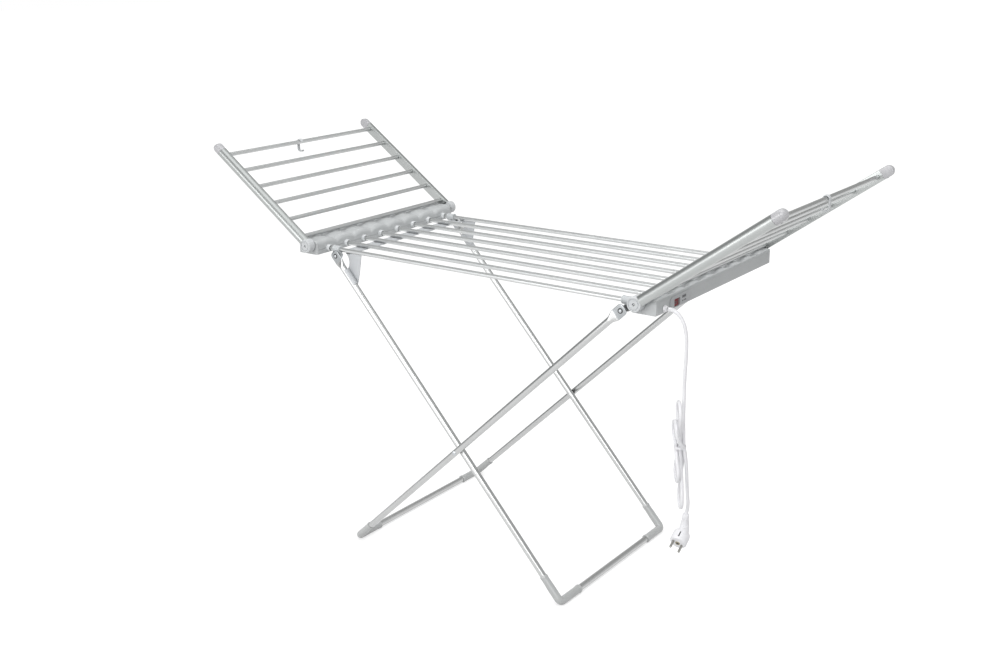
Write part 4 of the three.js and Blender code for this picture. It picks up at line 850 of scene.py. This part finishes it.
lug_half, lug_radius, lug_knee = 3, 8, 717
sleeve_paint = plastic("sleeve_moulding", (0.52, 0.54, 0.55), (0.46, 0.48, 0.49), 0.42)
for kind, leg, centre_x, body in (("sleeve", "a", -395, "leg_slider"), ("right_bracket", "b", 395, "rack")):
    pivot_x, plane = leg_pivots[leg][0], leg_planes[leg]
    lug_line = np.vstack([arc_points((pivot_x, pivot_z), lug_radius, np.radians(np.linspace(180, 360, 19))),
                          [(pivot_x + lug_radius, lug_knee), (pivot_x + lug_radius, tube_z),
                           (pivot_x - lug_radius, tube_z), (pivot_x - lug_radius, lug_knee)]])
    for end_name, end in front_rear:
        tube_y = end * outer_tube
        barrel = turned([(-10.5, 5.3), (-10.5, 8.2), (-10.1, 8.7), (-7.6, 8.7), (-7.2, 8.2), (7.2, 8.2), (7.6, 8.7),
                         (10.1, 8.7), (10.5, 8.2), (10.5, 5.3)], (centre_x, tube_y, tube_z), (1, 0, 0), 36)
        lug = slab(lug_line, tube_y - lug_half, tube_y + lug_half)
        fit(f"{kind}_{end_name}_barrel", [barrel, lug], sleeve_paint, body, "pressed_steel", f"{kind}_{end_name}")
        pivot = np.array([pivot_x, end * plane, pivot_z])
        bush = turned([(-1.6, 6.6), (-2.2, 7.1), (outer_tube + lug_half - plane, 7.1)], pivot, (0, end, 0), 28)
        fit(f"{kind}_{end_name}_bush", bush, dark_moulding_and_shade, body, "pressed_steel")
        washer = turned([(1.2, 5.7), (1.9, 5.7), (1.9, 3.2)], pivot, (0, end, 0), 32)
        rivet = turned([(1.6, 3.5), (2.4, 3.5), (3.1, 2.9), (3.5, 1.8), (3.6, 0.4)], pivot, (0, end, 0), 28)
        fit(f"{kind}_{end_name}_washer", washer, dark_moulding_and_shade, body, "pressed_steel")
        nut = turned([(0, 7.2), (0.4, 8), (3.6, 8), (4, 7.2), (4, 3.4), (4.8, 3.2), (5.4, 2.6), (5.4, 0.4)],
                     (pivot_x, end * (outer_tube - lug_half), pivot_z), (0, -end, 0), 6)
        fit(f"{kind}_{end_name}_rivet", [rivet, nut], zinc, body, "pressed_steel")

# Lock bracket: pressed sheet steel under the rack tubes. A wide band with two pressed beads runs between
# the legs of frame A, and at each end a gusset comes down to a saddle over the leg tube.
bracket_top, sheet, band_end, tab_end, gusset_out = 719.7, 2, 38.3, 197.2, 213.6
pressed = metal("zinc_plated_steel", (0.54, 0.555, 0.57), (0.47, 0.485, 0.50), 0.55, 0.15, metallic=0.2)
band_start = leg_pivots["a"][0]
band_run = np.linspace(1.3, band_end, 38)
bead = 0.6 * (np.exp(-((band_run - 12) / 2.6) ** 2) + np.exp(-((band_run - 28) / 2.6) ** 2))
band_ys = np.array([-tab_end, -196.8, -180, -174, 174, 180, 196.8, tab_end])
band_top = bracket_top - bead * np.array([0, 0, 0, 1, 1, 0, 0, 0])[:, None]
band_rings = grid(band_start + np.append(band_run, band_run[::-1]), band_ys[:, None],
                  np.hstack([band_top, (band_top - sheet)[:, ::-1]]))
slope, drop_top = np.tan(steep["a"]), bracket_top - pivot_z


def bow(start, middle, finish, steps=14):
    """Quadratic curve: the shares of its start, middle and finish are (1-t)^2, 2t(1-t) and t^2."""
    t = np.linspace(0, 1, steps)[:, None]
    return (1 - t) ** 2 * np.array(start) + 2 * t * (1 - t) * np.array(middle) + t**2 * np.array(finish)


# A gusset's outline from the pivot of leg A: a bow down to the leg, and another back up to the rack.
gusset = np.vstack([
    bow((26, drop_top), (42, drop_top - 16), (29.75, -26 * slope)),
    bow((57, -57 * slope), (64.5, -57 * slope + 16), (74, drop_top))]) + [band_start, pivot_z]
tab_line = np.array([(26, 0), (band_end, 0), (band_end, -sheet), (26, -sheet)]) + [band_start, bracket_top]
saddle_turn, saddle_rows = np.radians(np.linspace(-28, 152, 25)), np.array([42, 42.6, 83.4, 84])
saddle = np.vstack([arc_points((0, 0), 9.5, saddle_turn), arc_points((0, 0), 7.8, saddle_turn[::-1])])
pieces = [band_rings]
for end in (-1, 1):
    pieces.append(slab(tab_line, *sorted((end * tab_end, end * gusset_out)), 0.2))
    pieces.append(slab(gusset, *sorted((end * (gusset_out - sheet), end * gusset_out)), 0.4))
    pieces.append(on_leg("a", grid(saddle_rows[:, None], end * (leg_planes["a"] - saddle[:, 0]), saddle[:, 1])))
fit("lock_bracket_sheet", pieces, pressed, "leg_a", "pressed_steel", "lock_bracket")
